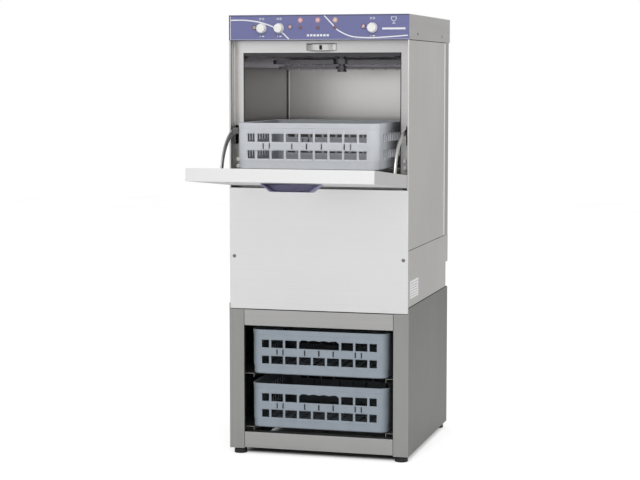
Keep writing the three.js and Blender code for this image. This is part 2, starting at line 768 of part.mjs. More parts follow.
// ---------------------------------------------------------------- controls

function knob() {
  const face = -FIT;
  const profile = [
    [0, -SWITCH_Y + 1], [SPINDLE_R, -SWITCH_Y + 1], [SPINDLE_R, -face], [KNOB_R, -face],
    [KNOB_R, KNOB_DEPTH - 2], [KNOB_R - 1.5, KNOB_DEPTH], [0, KNOB_DEPTH],
  ];
  return turned(profile, 0, 0, 24).rotateX(90 * RAD);
}

function addControls(parent) {
  for (const [name, x] of Object.entries(KNOBS)) {
    part(parent, name, knob(), knobCream).position.set(x, 0, KNOB_Z);
  }
  const middle = (CATCH.slot[0] + CATCH.slot[1]) / 2;
  const plunger = box([-2.5, 2.5], [30, 48], [middle - 4, middle + 4]);
  part(parent, "door_switch_plunger", plunger, blackPlastic);
}

// ---------------------------------------------------------------- racks

// A square glass rack with a grid floor and two rows of wall openings, from its own corner plane.
function rack() {
  const block = (inset, z0, z1) =>
    upright(roundedSquare(RACK_SIDE - 2 * inset, RACK_R - inset), z0, z1, 4);
  const shell = cut(
    join(block(0, RACK_BASE.height, RACK_H), block(RACK_BASE.inset, 0, RACK_BASE.height + 1)),
    block(RACK_WALL, RACK_FLOOR, RACK_H + 5),
  );
  const cutters = [];
  for (const x of [-101, 0, 101]) {
    for (const row of [[26, 46], [67, 87]]) {
      cutters.push(box([x - 48, x + 48], [-200, 200], row));
      cutters.push(box([-200, 200], [x - 48, x + 48], row));
    }
  }
  for (const x of [-1, 0, 1]) {
    for (const y of [-1, 0, 1]) {
      const span = (i) => [i * FLOOR_PITCH - FLOOR_OPEN / 2, i * FLOOR_PITCH + FLOOR_OPEN / 2];
      cutters.push(box(span(x), span(y), [-5, RACK_FLOOR + 5]));
    }
  }
  return cut(shell, ...cutters);
}

function addRacks(parent) {
  const places = {
    wash_rack: [WASH_RACK_Y, WASH_RACK_Z],
    upper_store_rack: [STORE_RACK_Y, GUIDE_TOPS.upper + FIT],
    lower_store_rack: [STORE_RACK_Y, GUIDE_TOPS.lower + FIT],
  };
  for (const [name, [front, bottom]] of Object.entries(places)) {
    part(parent, name, rack(), rackGrey).position.set(0, front + RACK_SIDE / 2, bottom);
  }
}

// ---------------------------------------------------------------- assembly

const machine = new THREE.Group();
addStand(machine);
addCasing(machine);
addChamber(machine);
addWorks(machine);
addDoor(machine);
addControls(machine);
addRacks(machine);

const extent = new THREE.Box3().setFromObject(machine, true);
machine.position.y = -(extent.min.y + extent.max.y) / 2;

const group = new THREE.Group();
group.add(machine);

export default group;
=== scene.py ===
"""Glass washer on a rack stand: looks, fine detail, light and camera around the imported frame."""

import math

import bmesh
import bpy
from mathutils import Matrix, Vector


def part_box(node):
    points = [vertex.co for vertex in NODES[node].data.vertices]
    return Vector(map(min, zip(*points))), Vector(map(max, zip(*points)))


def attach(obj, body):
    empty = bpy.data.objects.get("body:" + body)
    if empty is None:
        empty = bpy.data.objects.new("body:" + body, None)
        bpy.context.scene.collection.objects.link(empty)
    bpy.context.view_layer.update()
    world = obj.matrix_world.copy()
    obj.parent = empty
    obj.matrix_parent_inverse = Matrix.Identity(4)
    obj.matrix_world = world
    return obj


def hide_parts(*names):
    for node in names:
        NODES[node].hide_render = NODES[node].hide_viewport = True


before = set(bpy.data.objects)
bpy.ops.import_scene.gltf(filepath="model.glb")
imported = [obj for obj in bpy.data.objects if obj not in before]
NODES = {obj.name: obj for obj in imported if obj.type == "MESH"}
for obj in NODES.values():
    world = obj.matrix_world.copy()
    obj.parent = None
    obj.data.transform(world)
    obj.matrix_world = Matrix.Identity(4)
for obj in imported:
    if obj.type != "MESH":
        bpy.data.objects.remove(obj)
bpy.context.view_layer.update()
scene = bpy.context.scene

FASCIA_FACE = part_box("control_panel")[0].y
MM = 0.001
WHITE = (1, 1, 1)


def at(x, y, z):
    """A point given in millimetres: from the middle, back from the fascia's face, and up."""
    return Vector((x * MM, FASCIA_FACE + y * MM, z * MM))


# ------------------------------------------------------------------ materials


class Shader:
    """A Principled material whose colour, roughness and bump come from procedural nodes."""

    def __init__(self, name, roughness=0.5, metallic=0.0, **values):
        self.material = bpy.data.materials.new(name)
        self.material.use_nodes = True
        self.tree = self.material.node_tree
        self.surface = self.tree.nodes["Principled BSDF"]
        self.surface.inputs["Roughness"].default_value = roughness
        self.surface.inputs["Metallic"].default_value = metallic
        for key, value in values.items():
            self.surface.inputs[key.replace("_", " ")].default_value = value
        self.place = self.add("ShaderNodeTexCoord").outputs["Object"]
        self.height = None

    def add(self, kind, **values):
        """A node whose keywords link or set its inputs, or else set its own properties."""
        node = self.tree.nodes.new(kind)
        for key, value in values.items():
            if hasattr(value, "is_output"):
                self.tree.links.new(value, node.inputs[key])
            elif key in node.inputs:
                node.inputs[key].default_value = value
            else:
                setattr(node, key, value)
        return node

    def link(self, output, name):
        self.tree.links.new(output, self.surface.inputs[name])

    def stretched(self, scale):
        """Object coordinates scaled by axis, in cycles a metre."""
        return self.add("ShaderNodeMapping", Vector=self.place, Scale=scale).outputs["Vector"]

    def noise(self, scale, detail=3.0, vector=None):
        """Cloudy noise, in object coordinates unless a vector is given."""
        node = self.add("ShaderNodeTexNoise", Vector=vector or self.place, Scale=scale, Detail=detail)
        return node.outputs["Fac"]

    def spread(self, value, low, high, low_in=0.3, high_in=0.7):
        """A value between low_in and high_in, stretched and held between low and high."""
        node = self.add("ShaderNodeMapRange", Value=value)
        for key, number in (
            ("From Min", low_in),
            ("From Max", high_in),
            ("To Min", low),
            ("To Max", high),
        ):
            node.inputs[key].default_value = number
        return node.outputs["Result"]

    def blend(self, factor, first, second, mode="MIX"):
        """Two colours mixed by a factor; each can be a fixed value or another node's output."""
        node = self.tree.nodes.new("ShaderNodeMix")
        node.data_type = "RGBA"
        node.blend_type = mode
        for index, value in ((0, factor), (6, first), (7, second)):
            if hasattr(value, "is_output"):
                self.tree.links.new(value, node.inputs[index])
            else:
                node.inputs[index].default_value = value
        return node.outputs[2]

    def maths(self, operation, first, second=0.0):
        node = self.tree.nodes.new("ShaderNodeMath")
        node.operation = operation
        for index, value in enumerate((first, second)):
            if hasattr(value, "is_output"):
                self.tree.links.new(value, node.inputs[index])
            else:
                node.inputs[index].default_value = value
        return node.outputs[0]

    def bump(self, height, distance, strength):
        """Relief of that many metres, laid over any relief the surface has already."""
        node = self.add("ShaderNodeBump", Height=height, Distance=distance, Strength=strength)
        if self.height:
            self.tree.links.new(self.height, node.inputs["Normal"])
        self.height = node.outputs["Normal"]
        self.link(self.height, "Normal")


def tone(colour, factor=1.0):
    """A colour lightened or darkened by a factor, held at full brightness."""
    return (*(min(1.0, c * factor) for c in colour), 1.0)


def brushed(
    name, colour, grain, roughness=0.34, contrast=0.06, relief=0.5, wear=1.0, painted_shade_shifts=(), sides=1.0
):
    """Brushed stainless sheet: fine scratches and wider streaks along one axis, faint handling marks.

    Painted shade can shift the tone along axes, each given as (axis, from, to, first, last), and
    make it differ on faces that look sideways.
    """
    s = Shader(name, metallic=1.0)
    fine = {"x": (9, 900, 900), "y": (900, 9, 900), "z": (900, 900, 9)}[grain]
    wide = {"x": (1.4, 130, 130), "y": (130, 1.4, 130), "z": (130, 130, 1.4)}[grain]
    scratches = s.noise(1.0, 4.0, s.stretched(fine))
    streaks = s.noise(1.0, 3.0, s.stretched(wide))
    cloud = s.noise(3.5, 2.0)
    grainy = s.maths("ADD", s.maths("MULTIPLY", scratches, 0.55), s.maths("MULTIPLY", streaks, 0.45))
    base = s.blend(
        s.spread(grainy, 0.0, 1.0), tone(colour, 1 - contrast), tone(colour, 1 + contrast)
    )
    marks = s.blend(s.spread(cloud, 0.0, 1.0), tone(WHITE, 0.95), tone(WHITE))
    base = s.blend(1.0, base, marks, "MULTIPLY")
    # painted shade along the axes
    for axis, start, end, first, last in painted_shade_shifts:
        along = s.add("ShaderNodeSeparateXYZ", Vector=s.place).outputs[axis]
        level = s.spread(along, 0.0, 1.0, start, end)
        level = s.blend(level, tone(WHITE, first), tone(WHITE, last))
        base = s.blend(1.0, base, level, "MULTIPLY")
    # painted shade on faces that look sideways
    if sides != 1.0:
        normal = s.add("ShaderNodeNewGeometry").outputs["Normal"]
        sideways = s.add("ShaderNodeSeparateXYZ", Vector=normal).outputs["X"]
        level = s.blend(s.maths("ABSOLUTE", sideways), tone(WHITE), tone(WHITE, sides))
        base = s.blend(1.0, base, level, "MULTIPLY")
    s.link(base, "Base Color")
    rough = s.maths(
        "ADD",
        s.spread(grainy, roughness - 0.05 * wear, roughness + 0.07 * wear),
        s.spread(cloud, -0.02, 0.03),
    )
    s.link(rough, "Roughness")
    s.bump(scratches, 0.00006, relief)
    return s.material


def plastic(name, colour, roughness=0.45, grain=0.00012, speckle=0.04, **values):
    """Moulded plastic: a faint mottle and a fine moulded grain."""
    s = Shader(name, roughness=roughness, **values)
    mottle = s.noise(26.0, 4.0)
    s.link(
        s.blend(s.spread(mottle, 0.0, 1.0), tone(colour, 1 - speckle), tone(colour, 1 + speckle)),
        "Base Color",
    )
    s.link(s.spread(s.noise(90.0, 2.0), roughness - 0.05, roughness + 0.06), "Roughness")
    s.bump(s.noise(1400.0, 2.0), grain, 0.5)
    return s.material


def printed(name, colour, roughness=0.4):
    """Screen-printed ink with a slightly uneven cover."""
    s = Shader(name, roughness=roughness)
    cover = s.noise(900.0, 2.0)
    s.link(s.blend(s.spread(cover, 0.0, 1.0), tone(colour, 0.96), tone(colour, 1.03)), "Base Color")
    s.bump(cover, 0.00002, 0.4)
    return s.material


def lens(name, colour):
    """A small translucent lamp lens with a prismatic pattern inside."""
    s = Shader(name, roughness=0.16, Coat_Weight=0.6)
    cells = s.add("ShaderNodeTexVoronoi", Vector=s.place, Scale=520.0).outputs["Distance"]
    colours = s.blend(s.spread(cells, 0.0, 1.0, 0.1, 0.8), tone(colour, 1.2), tone(colour, 0.7))
    s.link(colours, "Base Color")
    s.bump(cells, 0.0002, 0.4)
    return s.material


def enamel(name, colour):
    """Sprayed enamel with a faint orange peel."""
    s = Shader(name, roughness=0.4, Coat_Weight=0.3)
    s.link(
        s.blend(s.spread(s.noise(40.0, 3.0), 0.0, 1.0), tone(colour, 0.88), tone(colour, 1.1)),
        "Base Color",
    )
    s.bump(s.noise(500.0, 2.0), 0.0002, 0.5)
    return s.material


def perforated(name, colour, holes_a_metre=150.0, hole_radius=0.27):
    """Satin sheet with a punched pattern of round holes; their radius is a share of the pitch."""
    s = Shader(name, metallic=1.0, roughness=0.4)
    split = s.add("ShaderNodeSeparateXYZ", Vector=s.place)
    parts = []
    for axis in ("X", "Y"):
        saw = s.maths("FRACT", s.maths("MULTIPLY", split.outputs[axis], holes_a_metre))
        parts.append(s.maths("POWER", s.maths("SUBTRACT", saw, 0.5), 2.0))
    distance = s.maths("SQRT", s.maths("ADD", *parts))
    solid = s.maths("GREATER_THAN", distance, hole_radius)
    mottle = s.blend(
        s.spread(s.noise(60.0), 0.0, 1.0), tone(colour, 0.92), tone(colour, 1.05)
    )
    s.link(s.blend(solid, (0.01, 0.01, 0.01, 1.0), mottle), "Base Color")
    s.link(solid, "Metallic")
    s.bump(solid, 0.0006, 0.8)
    return s.material


# Painted shade: the side panels and base pan darker towards the bottom.
SIDE_STEEL = brushed(
    "side_steel", (0.80, 0.79, 0.765), "z", 0.4, painted_shade_shifts=[("Z", 0.4, 1.0, 0.88, 1.0)]
)
REAR_STEEL = brushed("rear_steel", (0.60, 0.595, 0.575), "z", 0.4)
# Painted highlight: a lighter steel that makes pale lines of the side panels' rear hems and the frame's
# folded edges.
HEM_HIGHLIGHT_STEEL = brushed("hem_highlight_steel", (0.97, 0.965, 0.95), "z", 0.45, contrast=0.02)
HOOD_STEEL = brushed("hood_steel", (0.70, 0.695, 0.68), "y", 0.4)
BRIGHT_STEEL = brushed("bright_steel", (0.86, 0.86, 0.86), "x", 0.36, contrast=0.02)
# Painted shade: the frame darker towards its right end and towards its foot.
FRAME_STEEL = brushed(
    "frame_steel",
    (0.70, 0.692, 0.69),
    "x",
    0.34,
    painted_shade_shifts=[("X", -0.23, 0.23, 1.0, 0.79), ("Z", 0.79, 0.87, 0.7, 1.0)],
)
# Painted shade: the door's inner panel darker towards its right end.
DOOR_STEEL = brushed(
    "door_inner_steel", (0.575, 0.568, 0.565), "x", 0.34, painted_shade_shifts=[("X", -0.23, 0.23, 1.0, 0.82)]
)
CATCH_STEEL = brushed("catch_steel", (0.62, 0.615, 0.61), "x", 0.26, contrast=0.03)
# Painted shade: the left stay arm darker than the right one.
ARM_STEEL = brushed(
    "arm_steel", (0.76, 0.75, 0.725), "z", 0.34, painted_shade_shifts=[("X", -0.1, 0.1, 0.76, 1.0)]
)
BRACKET_STEEL = brushed("bracket_steel", (0.44, 0.434, 0.42), "z", 0.36)
# Painted shade: the stand darker towards its top and on its sideways faces.
STAND_STEEL = brushed(
    "stand_steel", (0.43, 0.432, 0.42), "z", 0.36, painted_shade_shifts=[("Z", 0.03, 0.36, 1.0, 0.88)], sides=0.7
)
STAND_RAIL = brushed("stand_rail_steel", (0.50, 0.498, 0.49), "x", 0.38)
# Painted shade: the chamber's steel darker along its depth, low down, near the ceiling and on its side
# walls.
CHAMBER_STEEL = brushed(
    "chamber_steel",
    (0.96, 0.94, 0.92),
    "z",
    roughness=0.30,
    contrast=0.02,
    relief=0.1,
    wear=0.3,
    painted_shade_shifts=[
        ("Y", -0.35, 0.0, 1.0, 0.8),
        ("Z", 0.838, 0.852, 0.55, 1.0),
        ("Z", 0.971, 0.981, 1.0, 0.6),
    ],
    sides=0.52,
)
CEILING_STEEL = brushed("ceiling_steel", (0.84, 0.81, 0.88), "y", 0.42, contrast=0.03)
# Painted shade: the spray arms and the feed pipe in a near-black steel.
SHADED_SPRAY_STEEL = brushed("spray_arm_shade_steel", (0.18, 0.177, 0.19), "x", 0.36, contrast=0.04)
SHADOW_STEEL = brushed("shadow_steel", (0.10, 0.10, 0.10), "x", 0.5)
DARK_STEEL = brushed("guide_steel", (0.30, 0.30, 0.29), "y", 0.42)
POLISHED = brushed("polished_steel", (0.78, 0.78, 0.77), "x", 0.2, contrast=0.03)
FILTER_STEEL = perforated("filter_steel", (0.66, 0.66, 0.65))
FASCIA_BLUE = printed("fascia_blue", (0.174, 0.184, 0.39), 0.38)
INK_WHITE = printed("ink_white", (0.93, 0.93, 0.96))
INK_DARK = printed("ink_dark", (0.075, 0.08, 0.12))
HANDLE_VIOLET = plastic("handle_violet", (0.27, 0.25, 0.42), 0.4)
RACK_GREY = plastic("rack_grey", (0.33, 0.38, 0.43), 0.42, speckle=0.05)
RACK_SHADE = plastic("rack_shade", (0.13, 0.15, 0.17), 0.45, speckle=0.05)
RACK_PALE = plastic("rack_pale", (0.72, 0.745, 0.79), 0.42, speckle=0.03)
# Painted shade: the wash rack's inner faces and floor in a darker grey.
RACK_INNER_SHADE = plastic("rack_inner_shade", (0.44, 0.46, 0.49), 0.45, speckle=0.03)
KNOB_CREAM = plastic("knob_cream", (0.97, 0.963, 0.935), 0.28, Coat_Weight=0.3)
BLACK = plastic("black_plastic", (0.018, 0.018, 0.02), 0.5)
RUBBER = plastic("seal_rubber", (0.02, 0.02, 0.021), 0.7, grain=0.0003)
SEAL_GREY = plastic("seal_grey", (0.05, 0.05, 0.055), 0.6)
GREY = plastic("grey_plastic", (0.16, 0.17, 0.19), 0.5)
BLUE = plastic("blue_plastic", (0.05, 0.16, 0.42), 0.45)
MOTOR = enamel("motor_enamel", (0.035, 0.06, 0.09))
LABEL = printed("label_white", (0.97, 0.97, 0.99), 0.5)
LAMP_AMBER = lens("lamp_amber", (0.50, 0.39, 0.38))
LAMP_PINK = lens("lamp_pink", (0.72, 0.48, 0.54))
LED_RED = lens("led_red", (0.26, 0.12, 0.12))
BEZEL = plastic("lamp_bezel", (0.13, 0.10, 0.17), 0.4)
ICON_PINK = lens("icon_pink", (0.76, 0.35, 0.40))
ICON_ORANGE = lens("icon_orange", (0.72, 0.43, 0.34))

LEVELS = ("lower", "upper")
LOWER_ARMS = ("lower_wash_arm", "lower_rinse_arm")
UPPER_ARMS = ("upper_wash_arm", "upper_rinse_arm")
FINISHES = {
    SIDE_STEEL: ["left_side_panel", "right_side_panel", "base_pan"],
    REAR_STEEL: ["rear_panel"],
    HOOD_STEEL: ["top_cover"],
    BRIGHT_STEEL: ["front_panel", "door_outer_panel"],
    FRAME_STEEL: ["front_frame"],
    DOOR_STEEL: ["door_inner_panel"],
    ARM_STEEL: ["left_stay_arm", "right_stay_arm"],
    BRACKET_STEEL: ["left_hinge_bracket", "right_hinge_bracket"],
    CHAMBER_STEEL: ["rack_support", "wash_tank"],
    SHADED_SPRAY_STEEL: ["upper_feed_pipe", *LOWER_ARMS, *UPPER_ARMS],
    STAND_STEEL: ["stand_left_side", "stand_right_side", "stand_back_panel"],
    SHADOW_STEEL: ["stand_top_frame"],
    STAND_RAIL: ["stand_top_rail", "stand_bottom_rail"],
    DARK_STEEL: [f"{level}_{side}_guide" for level in LEVELS for side in ("left", "right")],
    POLISHED: ["lower_spindle", "boiler", "door_strike", "tank_element"],
    FILTER_STEEL: ["tank_filter"],
    FASCIA_BLUE: ["control_panel"],
    HANDLE_VIOLET: ["door_handle"],
    BLACK: [
        *(f"foot_{end}_{side}" for end in ("front", "rear") for side in ("left", "right")),
        "cable_gland",
        "switch_block",
        "door_switch_plunger",
    ],
    RUBBER: ["door_seal"],
    GREY: ["overflow_pipe", "pump_housing", "pump_impeller", "drain_pipe", "electrics_board"],
    MOTOR: ["pump_motor"],
    BLUE: ["fill_valve"],
}
BEVEL_ANGLE = math.radians(34)  # edges sharper than this are softened
SHARP_ANGLE = math.radians(32)  # edges sharper than this stay creases in the shading
LEAST_ROUNDING = 0.35
ROUNDING = {  # millimetres taken off the edges of a carried-over node
    "top_cover": 1.4,
    "control_panel": 1.0,
    "door_handle": 2.2,
    "front_panel": 1.0,
    "door_outer_panel": 0.7,
    "boiler": 1.0,
    "pump_motor": 1.5,
    "fill_valve": 1.0,
    "electrics_board": 1.0,
}


def dress(node, finish):
    """A better material and softened edges on a CAD node whose shape is right."""
    obj = NODES[node]
    mesh = obj.data
    mesh.materials[0] = finish
    mesh.attributes.remove(mesh.attributes["custom_normal"])
    mesh.shade_smooth()
    weld = obj.modifiers.new("weld", "WELD")
    weld.merge_threshold = 0.00001
    bevel = obj.modifiers.new("edges", "BEVEL")
    bevel.width = ROUNDING.get(node, LEAST_ROUNDING) * MM
    bevel.segments = 3 if node in ROUNDING else 1
    bevel.limit_method = "ANGLE"
    bevel.angle_limit = BEVEL_ANGLE
    normals = obj.modifiers.new("normals", "WEIGHTED_NORMAL")
    normals.weight = 100
    normals.keep_sharp = False


for finish, members in FINISHES.items():
    for member in members:
        dress(member, finish)


# ------------------------------------------------------------------ mesh tools


def piece(name, bm, finish, body, smooth=True):
    """A new object made from a bmesh, riding on a body in a material slot."""
    mesh = bpy.data.meshes.new(name)
    bmesh.ops.recalc_face_normals(bm, faces=bm.faces)
    bm.to_mesh(mesh)
    bm.free()
    mesh.materials.append(finish)
    if smooth:
        mesh.shade_smooth()
        mesh.set_sharp_from_angle(angle=SHARP_ANGLE)
    obj = bpy.data.objects.new(name, mesh)
    scene.collection.objects.link(obj)
    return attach(obj, body)


def soften(obj, width):
    """Round edges of that many millimetres."""
    bevel = obj.modifiers.new("edges", "BEVEL")
    bevel.width = width * MM
    bevel.segments = 2
    bevel.limit_method = "ANGLE"
    bevel.angle_limit = BEVEL_ANGLE
    obj.modifiers.new("normals", "WEIGHTED_NORMAL")


def facing(direction, origin):
    """The matrix of a frame at origin whose Z runs along direction."""
    turn = Vector(direction).to_track_quat("Z", "Y").to_matrix().to_4x4()
    return Matrix.Translation(origin) @ turn


def bridge(bm, rings, closed=True):
    """Quads or fans between consecutive rings of vertices."""
    for low, high in zip(rings, rings[1:]):
        count = max(len(low), len(high))
        for i in range(count if closed else count - 1):
            j = (i + 1) % count
            corners = [
                low[i % len(low)],
                low[j % len(low)],
                high[j % len(high)],
                high[i % len(high)],
            ]
            distinct = [v for k, v in enumerate(corners) if v is not corners[k - 1]]
            bm.faces.new(distinct)


def lathe(bm, profile, place, segments=24, radius=lambda r, h, angle: r):
    """A solid turned about the frame's Z, from (radius, height) pairs in millimetres."""
    rings = []
    for r, h in profile:
        if r == 0:
            rings.append([bm.verts.new(place @ Vector((0, 0, h * MM)))])
            continue
        ring = []
        for i in range(segments):
            angle = 2 * math.pi * i / segments
            reach = radius(r, h, angle)
            ring.append(
                bm.verts.new(
                    place
                    @ Vector((reach * math.cos(angle) * MM, reach * math.sin(angle) * MM, h * MM))
                )
            )
        rings.append(ring)
    bridge(bm, rings)


def ribbon(bm, path, width, y0, y1, closed=False):
    """A flat strip that follows (x, z) points on the fascia, between two depths, in millimetres."""
    rings = []
    count = len(path)
    for i, (x, z) in enumerate(path):
        before = path[(i - 1) % count] if closed or i else path[i]
        after = path[(i + 1) % count] if closed or i < count - 1 else path[i]
        along = Vector((after[0] - before[0], after[1] - before[1])).normalized()
        side = Vector((-along.y, along.x)) * width / 2
        rings.append(
            [
                bm.verts.new(at(x + side.x, y0, z + side.y)),
                bm.verts.new(at(x - side.x, y0, z - side.y)),
                bm.verts.new(at(x - side.x, y1, z - side.y)),
                bm.verts.new(at(x + side.x, y1, z + side.y)),
            ]
        )
    bridge(bm, rings + rings[:1] if closed else rings)
    if not closed:
        bm.faces.new(rings[0])
        bm.faces.new(rings[-1])


def smooth_path(points, steps=10):
    """Points along a Catmull-Rom curve."""
    padded = [points[0], *points, points[-1]]
    path = []
    for a, b, c, d in zip(padded, padded[1:], padded[2:], padded[3:]):
        for i in range(steps):
            t = i / steps
            path.append(
                tuple(
                    0.5
                    * (
                        2 * q
                        + (r - p) * t
                        + (2 * p - 5 * q + 4 * r - s) * t * t
                        + (3 * q - p - 3 * r + s) * t**3
                    )
                    for p, q, r, s in zip(a, b, c, d)
                )
            )
    return [*path, points[-1]]


def circle(x, z, r, steps):
    """Points round a circle, for a closed ribbon."""
    turns = [2 * math.pi * i / steps for i in range(steps)]
    return [(x + r * math.cos(turn), z + r * math.sin(turn)) for turn in turns]


def slab(bm, lo, hi):
    """A box between two corners, in metres."""
    corners = [
        bm.verts.new((x, y, z))
        for z in (lo[2], hi[2])
        for x, y in ((lo[0], lo[1]), (hi[0], lo[1]), (hi[0], hi[1]), (lo[0], hi[1]))
    ]
    bridge(bm, [corners[:4], corners[4:]])
    bm.faces.new(corners[:4])
    bm.faces.new(corners[4:])


# ------------------------------------------------------------------ racks

RACK_HALF = 178
RACK_CORNER = 25
RACK_WALL = 3.2
WINDOW_PITCH = 36.5
WINDOW_HALF = 15.5
END_WINDOW = (130.5, 149.5)
SIDE_PITCH = 21.2  # the same for the windows of the rack's two sides
SIDE_HALF = 7.5
SLITS = (0, 37, 94, 109.5)
SLIT_HALF = 1.6
LOW_ROW = (26, 46)
SLIT_ROW = (49.5, 63.5)
HIGH_ROW = (67, 87)
GRIP_HALF = 52
GRIP_STEPS = 26
GRIP_ROUND = 6  # the grip slot's ends curve down by GRIP_DROP over this length
GRIP_DROP = 4
SCALLOPS = 4
SCALLOP_RISE = 2.2
LEAST_STEP = 0.4  # stops closer than this along a wall are made one
RACK_ROWS = (  # height, inset
    (0, 4.2),
    (2.5, 2.6),
    (18.5, 2.6),
    (20.5, 1.4),
    (LOW_ROW[0], 1.2),
    (LOW_ROW[1], 1.2),
    (SLIT_ROW[0], 1.2),
    (SLIT_ROW[1], 1.2),
    (HIGH_ROW[0], 1.2),
    (HIGH_ROW[1], 1.2),
    (99.5, 1.2),
    (100.5, 0.5),
    (105.0, 0.5),
    (106.0, 0.0),
    (112.4, 0.0),
    (113, 0.6),
)
FLOOR_PITCH = 25.4
FLOOR_BAR = 2.8
FLOOR_REACH = 172.5
FLOOR_CORNER = 19.0
FLOOR_PLATE = 5.0
FLOOR_RISE = 0.6  # how far the lattice stands above the rack's foot
WINDOWS = [(-END_WINDOW[1], -END_WINDOW[0]), END_WINDOW] + [
    (i * WINDOW_PITCH - WINDOW_HALF, i * WINDOW_PITCH + WINDOW_HALF) for i in range(-3, 4)
]
SIDE_WINDOWS = [(i * SIDE_PITCH - SIDE_HALF, i * SIDE_PITCH + SIDE_HALF) for i in range(-5, 6)]


def in_any(value, spans):
    """Whether the value lies inside any of the spans."""
    return any(low < value < high for low, high in spans)


def rack_wall(bm, centre, bottom, grip):
    """The rack's wall: four sides and round corners, open at its windows, slits and grip slots."""
    flat = RACK_HALF - RACK_CORNER
    slits = [(s * x - SLIT_HALF, s * x + SLIT_HALF) for x in SLITS for s in (1, -1)]
    stops = {-flat, flat}
    for low, high in WINDOWS + SIDE_WINDOWS + slits:
        stops |= {low, high}
    stops |= {GRIP_HALF * i / GRIP_STEPS for i in range(-GRIP_STEPS, GRIP_STEPS + 1)}
    ordered = []
    for stop in sorted(stops):
        if not ordered or stop - ordered[-1] > LEAST_STEP:
            ordered.append(stop)
    columns = []  # (quarter turn, distance along the side) or (quarter turn, None, corner angle)
    for quarter in range(4):
        columns += [(quarter, stop, 0) for stop in ordered]
        columns += [(quarter, None, angle) for angle in range(10, 90, 10)]

    def place(column, z, inset):
        quarter, along, angle = column
        if along is None:
            r = RACK_CORNER - inset
            turn = math.radians(angle - 90)
            x, y = flat + r * math.cos(turn), -flat + r * math.sin(turn)
        else:
            x, y = along, -RACK_HALF + inset
            if grip and quarter % 2 == 0 and z == HIGH_ROW[1] and abs(along) < GRIP_HALF + 1:
                past = (abs(along) - GRIP_HALF) / GRIP_ROUND + 1
                wave = math.sin(math.pi * SCALLOPS * (along + GRIP_HALF) / (2 * GRIP_HALF))
                z += -GRIP_DROP * past**2 if past > 0 else SCALLOP_RISE * abs(wave)
        for _ in range(quarter):
            x, y = -y, x
        return bm.verts.new(centre + Vector((x * MM, y * MM, (bottom + z) * MM)))

    grid = [[place(column, z, inset) for column in columns] for z, inset in RACK_ROWS]
    for row, (low, high) in enumerate(zip(RACK_ROWS, RACK_ROWS[1:])):
        span = (low[0], high[0])
        for i, column in enumerate(columns):
            after = columns[(i + 1) % len(columns)]
            if column[1] is not None and after[1] is not None and column[0] == after[0]:
                middle = (column[1] + after[1]) / 2
                lateral = column[0] % 2 == 1
                windows = SIDE_WINDOWS if lateral else WINDOWS
                open_here = span in (LOW_ROW, HIGH_ROW) and in_any(middle, windows)
                if not lateral:
                    open_here |= span == SLIT_ROW and in_any(middle, slits)
                    open_here |= grip and span == HIGH_ROW and abs(middle) < GRIP_HALF
                if open_here:
                    continue
            j = (i + 1) % len(columns)
            bm.faces.new((grid[row][i], grid[row][j], grid[row + 1][j], grid[row + 1][i]))
    loose = [v for v in bm.verts if not v.link_faces]
    bmesh.ops.delete(bm, geom=loose, context="VERTS")


def rack_floor(bm, centre, z):
    """The lattice that the glasses stand on, as one plate with square openings."""
    reach, corner = FLOOR_REACH, FLOOR_CORNER
    count = round(2 * reach / FLOOR_PITCH)
    step = 2 * reach / count
    stops = []
    for i in range(count + 1):
        middle = -reach + i * step
        stops += [max(-reach, middle - FLOOR_BAR / 2), min(reach, middle + FLOOR_BAR / 2)]
    grid = []
    for y in stops:
        row = []
        for x in stops:
            inner = reach - corner
            px, py = x, y
            dx, dy = abs(x) - inner, abs(y) - inner
            if dx > 0 and dy > 0 and math.hypot(dx, dy) > corner:
                pull = corner / math.hypot(dx, dy)
                px = math.copysign(inner + dx * pull, x)
                py = math.copysign(inner + dy * pull, y)
            row.append(bm.verts.new(centre + Vector((px * MM, py * MM, z * MM))))
        grid.append(row)
    for j in range(len(stops) - 1):
        for i in range(len(stops) - 1):
            if i % 2 and j % 2:
                continue
            bm.faces.new((grid[j][i], grid[j][i + 1], grid[j + 1][i + 1], grid[j + 1][i]))


def thicken(obj, thickness, offset):
    """A sheet made solid: offset -1 adds the millimetres behind its faces, 1 in front of them."""
    solid = obj.modifiers.new("thickness", "SOLIDIFY")
    solid.thickness = thickness * MM
    solid.offset = offset
    solid.use_even_offset = True
    obj.modifiers.new("normals", "WEIGHTED_NORMAL").keep_sharp = True


def build_rack(node, finish, shaded_inside, grip):
    """A rack's wall and floor in place of its CAD node, with its inner faces and floor in painted
    shade; only some racks have grip slots.
    """
    lo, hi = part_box(node)
    centre = Vector(((lo.x + hi.x) / 2, (lo.y + hi.y) / 2, 0))
    bottom = lo.z / MM
    bm = bmesh.new()
    rack_wall(bm, centre, bottom, grip)
    wall = piece(f"{node}_wall", bm, finish, node)
    thicken(wall, RACK_WALL, -1)
    wall.data.materials.append(shaded_inside)
    wall.modifiers["thickness"].material_offset = 1
    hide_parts(node)
    bm = bmesh.new()
    rack_floor(bm, centre, bottom + FLOOR_RISE)
    floor = piece(f"{node}_floor", bm, shaded_inside, node)
    thicken(floor, FLOOR_PLATE, 1)


build_rack("wash_rack", RACK_PALE, RACK_INNER_SHADE, False)
build_rack("upper_store_rack", RACK_GREY, RACK_SHADE, True)
build_rack("lower_store_rack", RACK_GREY, RACK_SHADE, True)


# ------------------------------------------------------------------ wash chamber

LINER_CORNER = 6  # radius of the liner's upright corners
LINER_COVE = 28  # radius between its walls and its ceiling
LINER_SHEET = 1.2
LINER_STEPS = 8  # faces round each quarter turn
LEAST_CORNER = 1.5  # radius left to the corners where the cove draws in


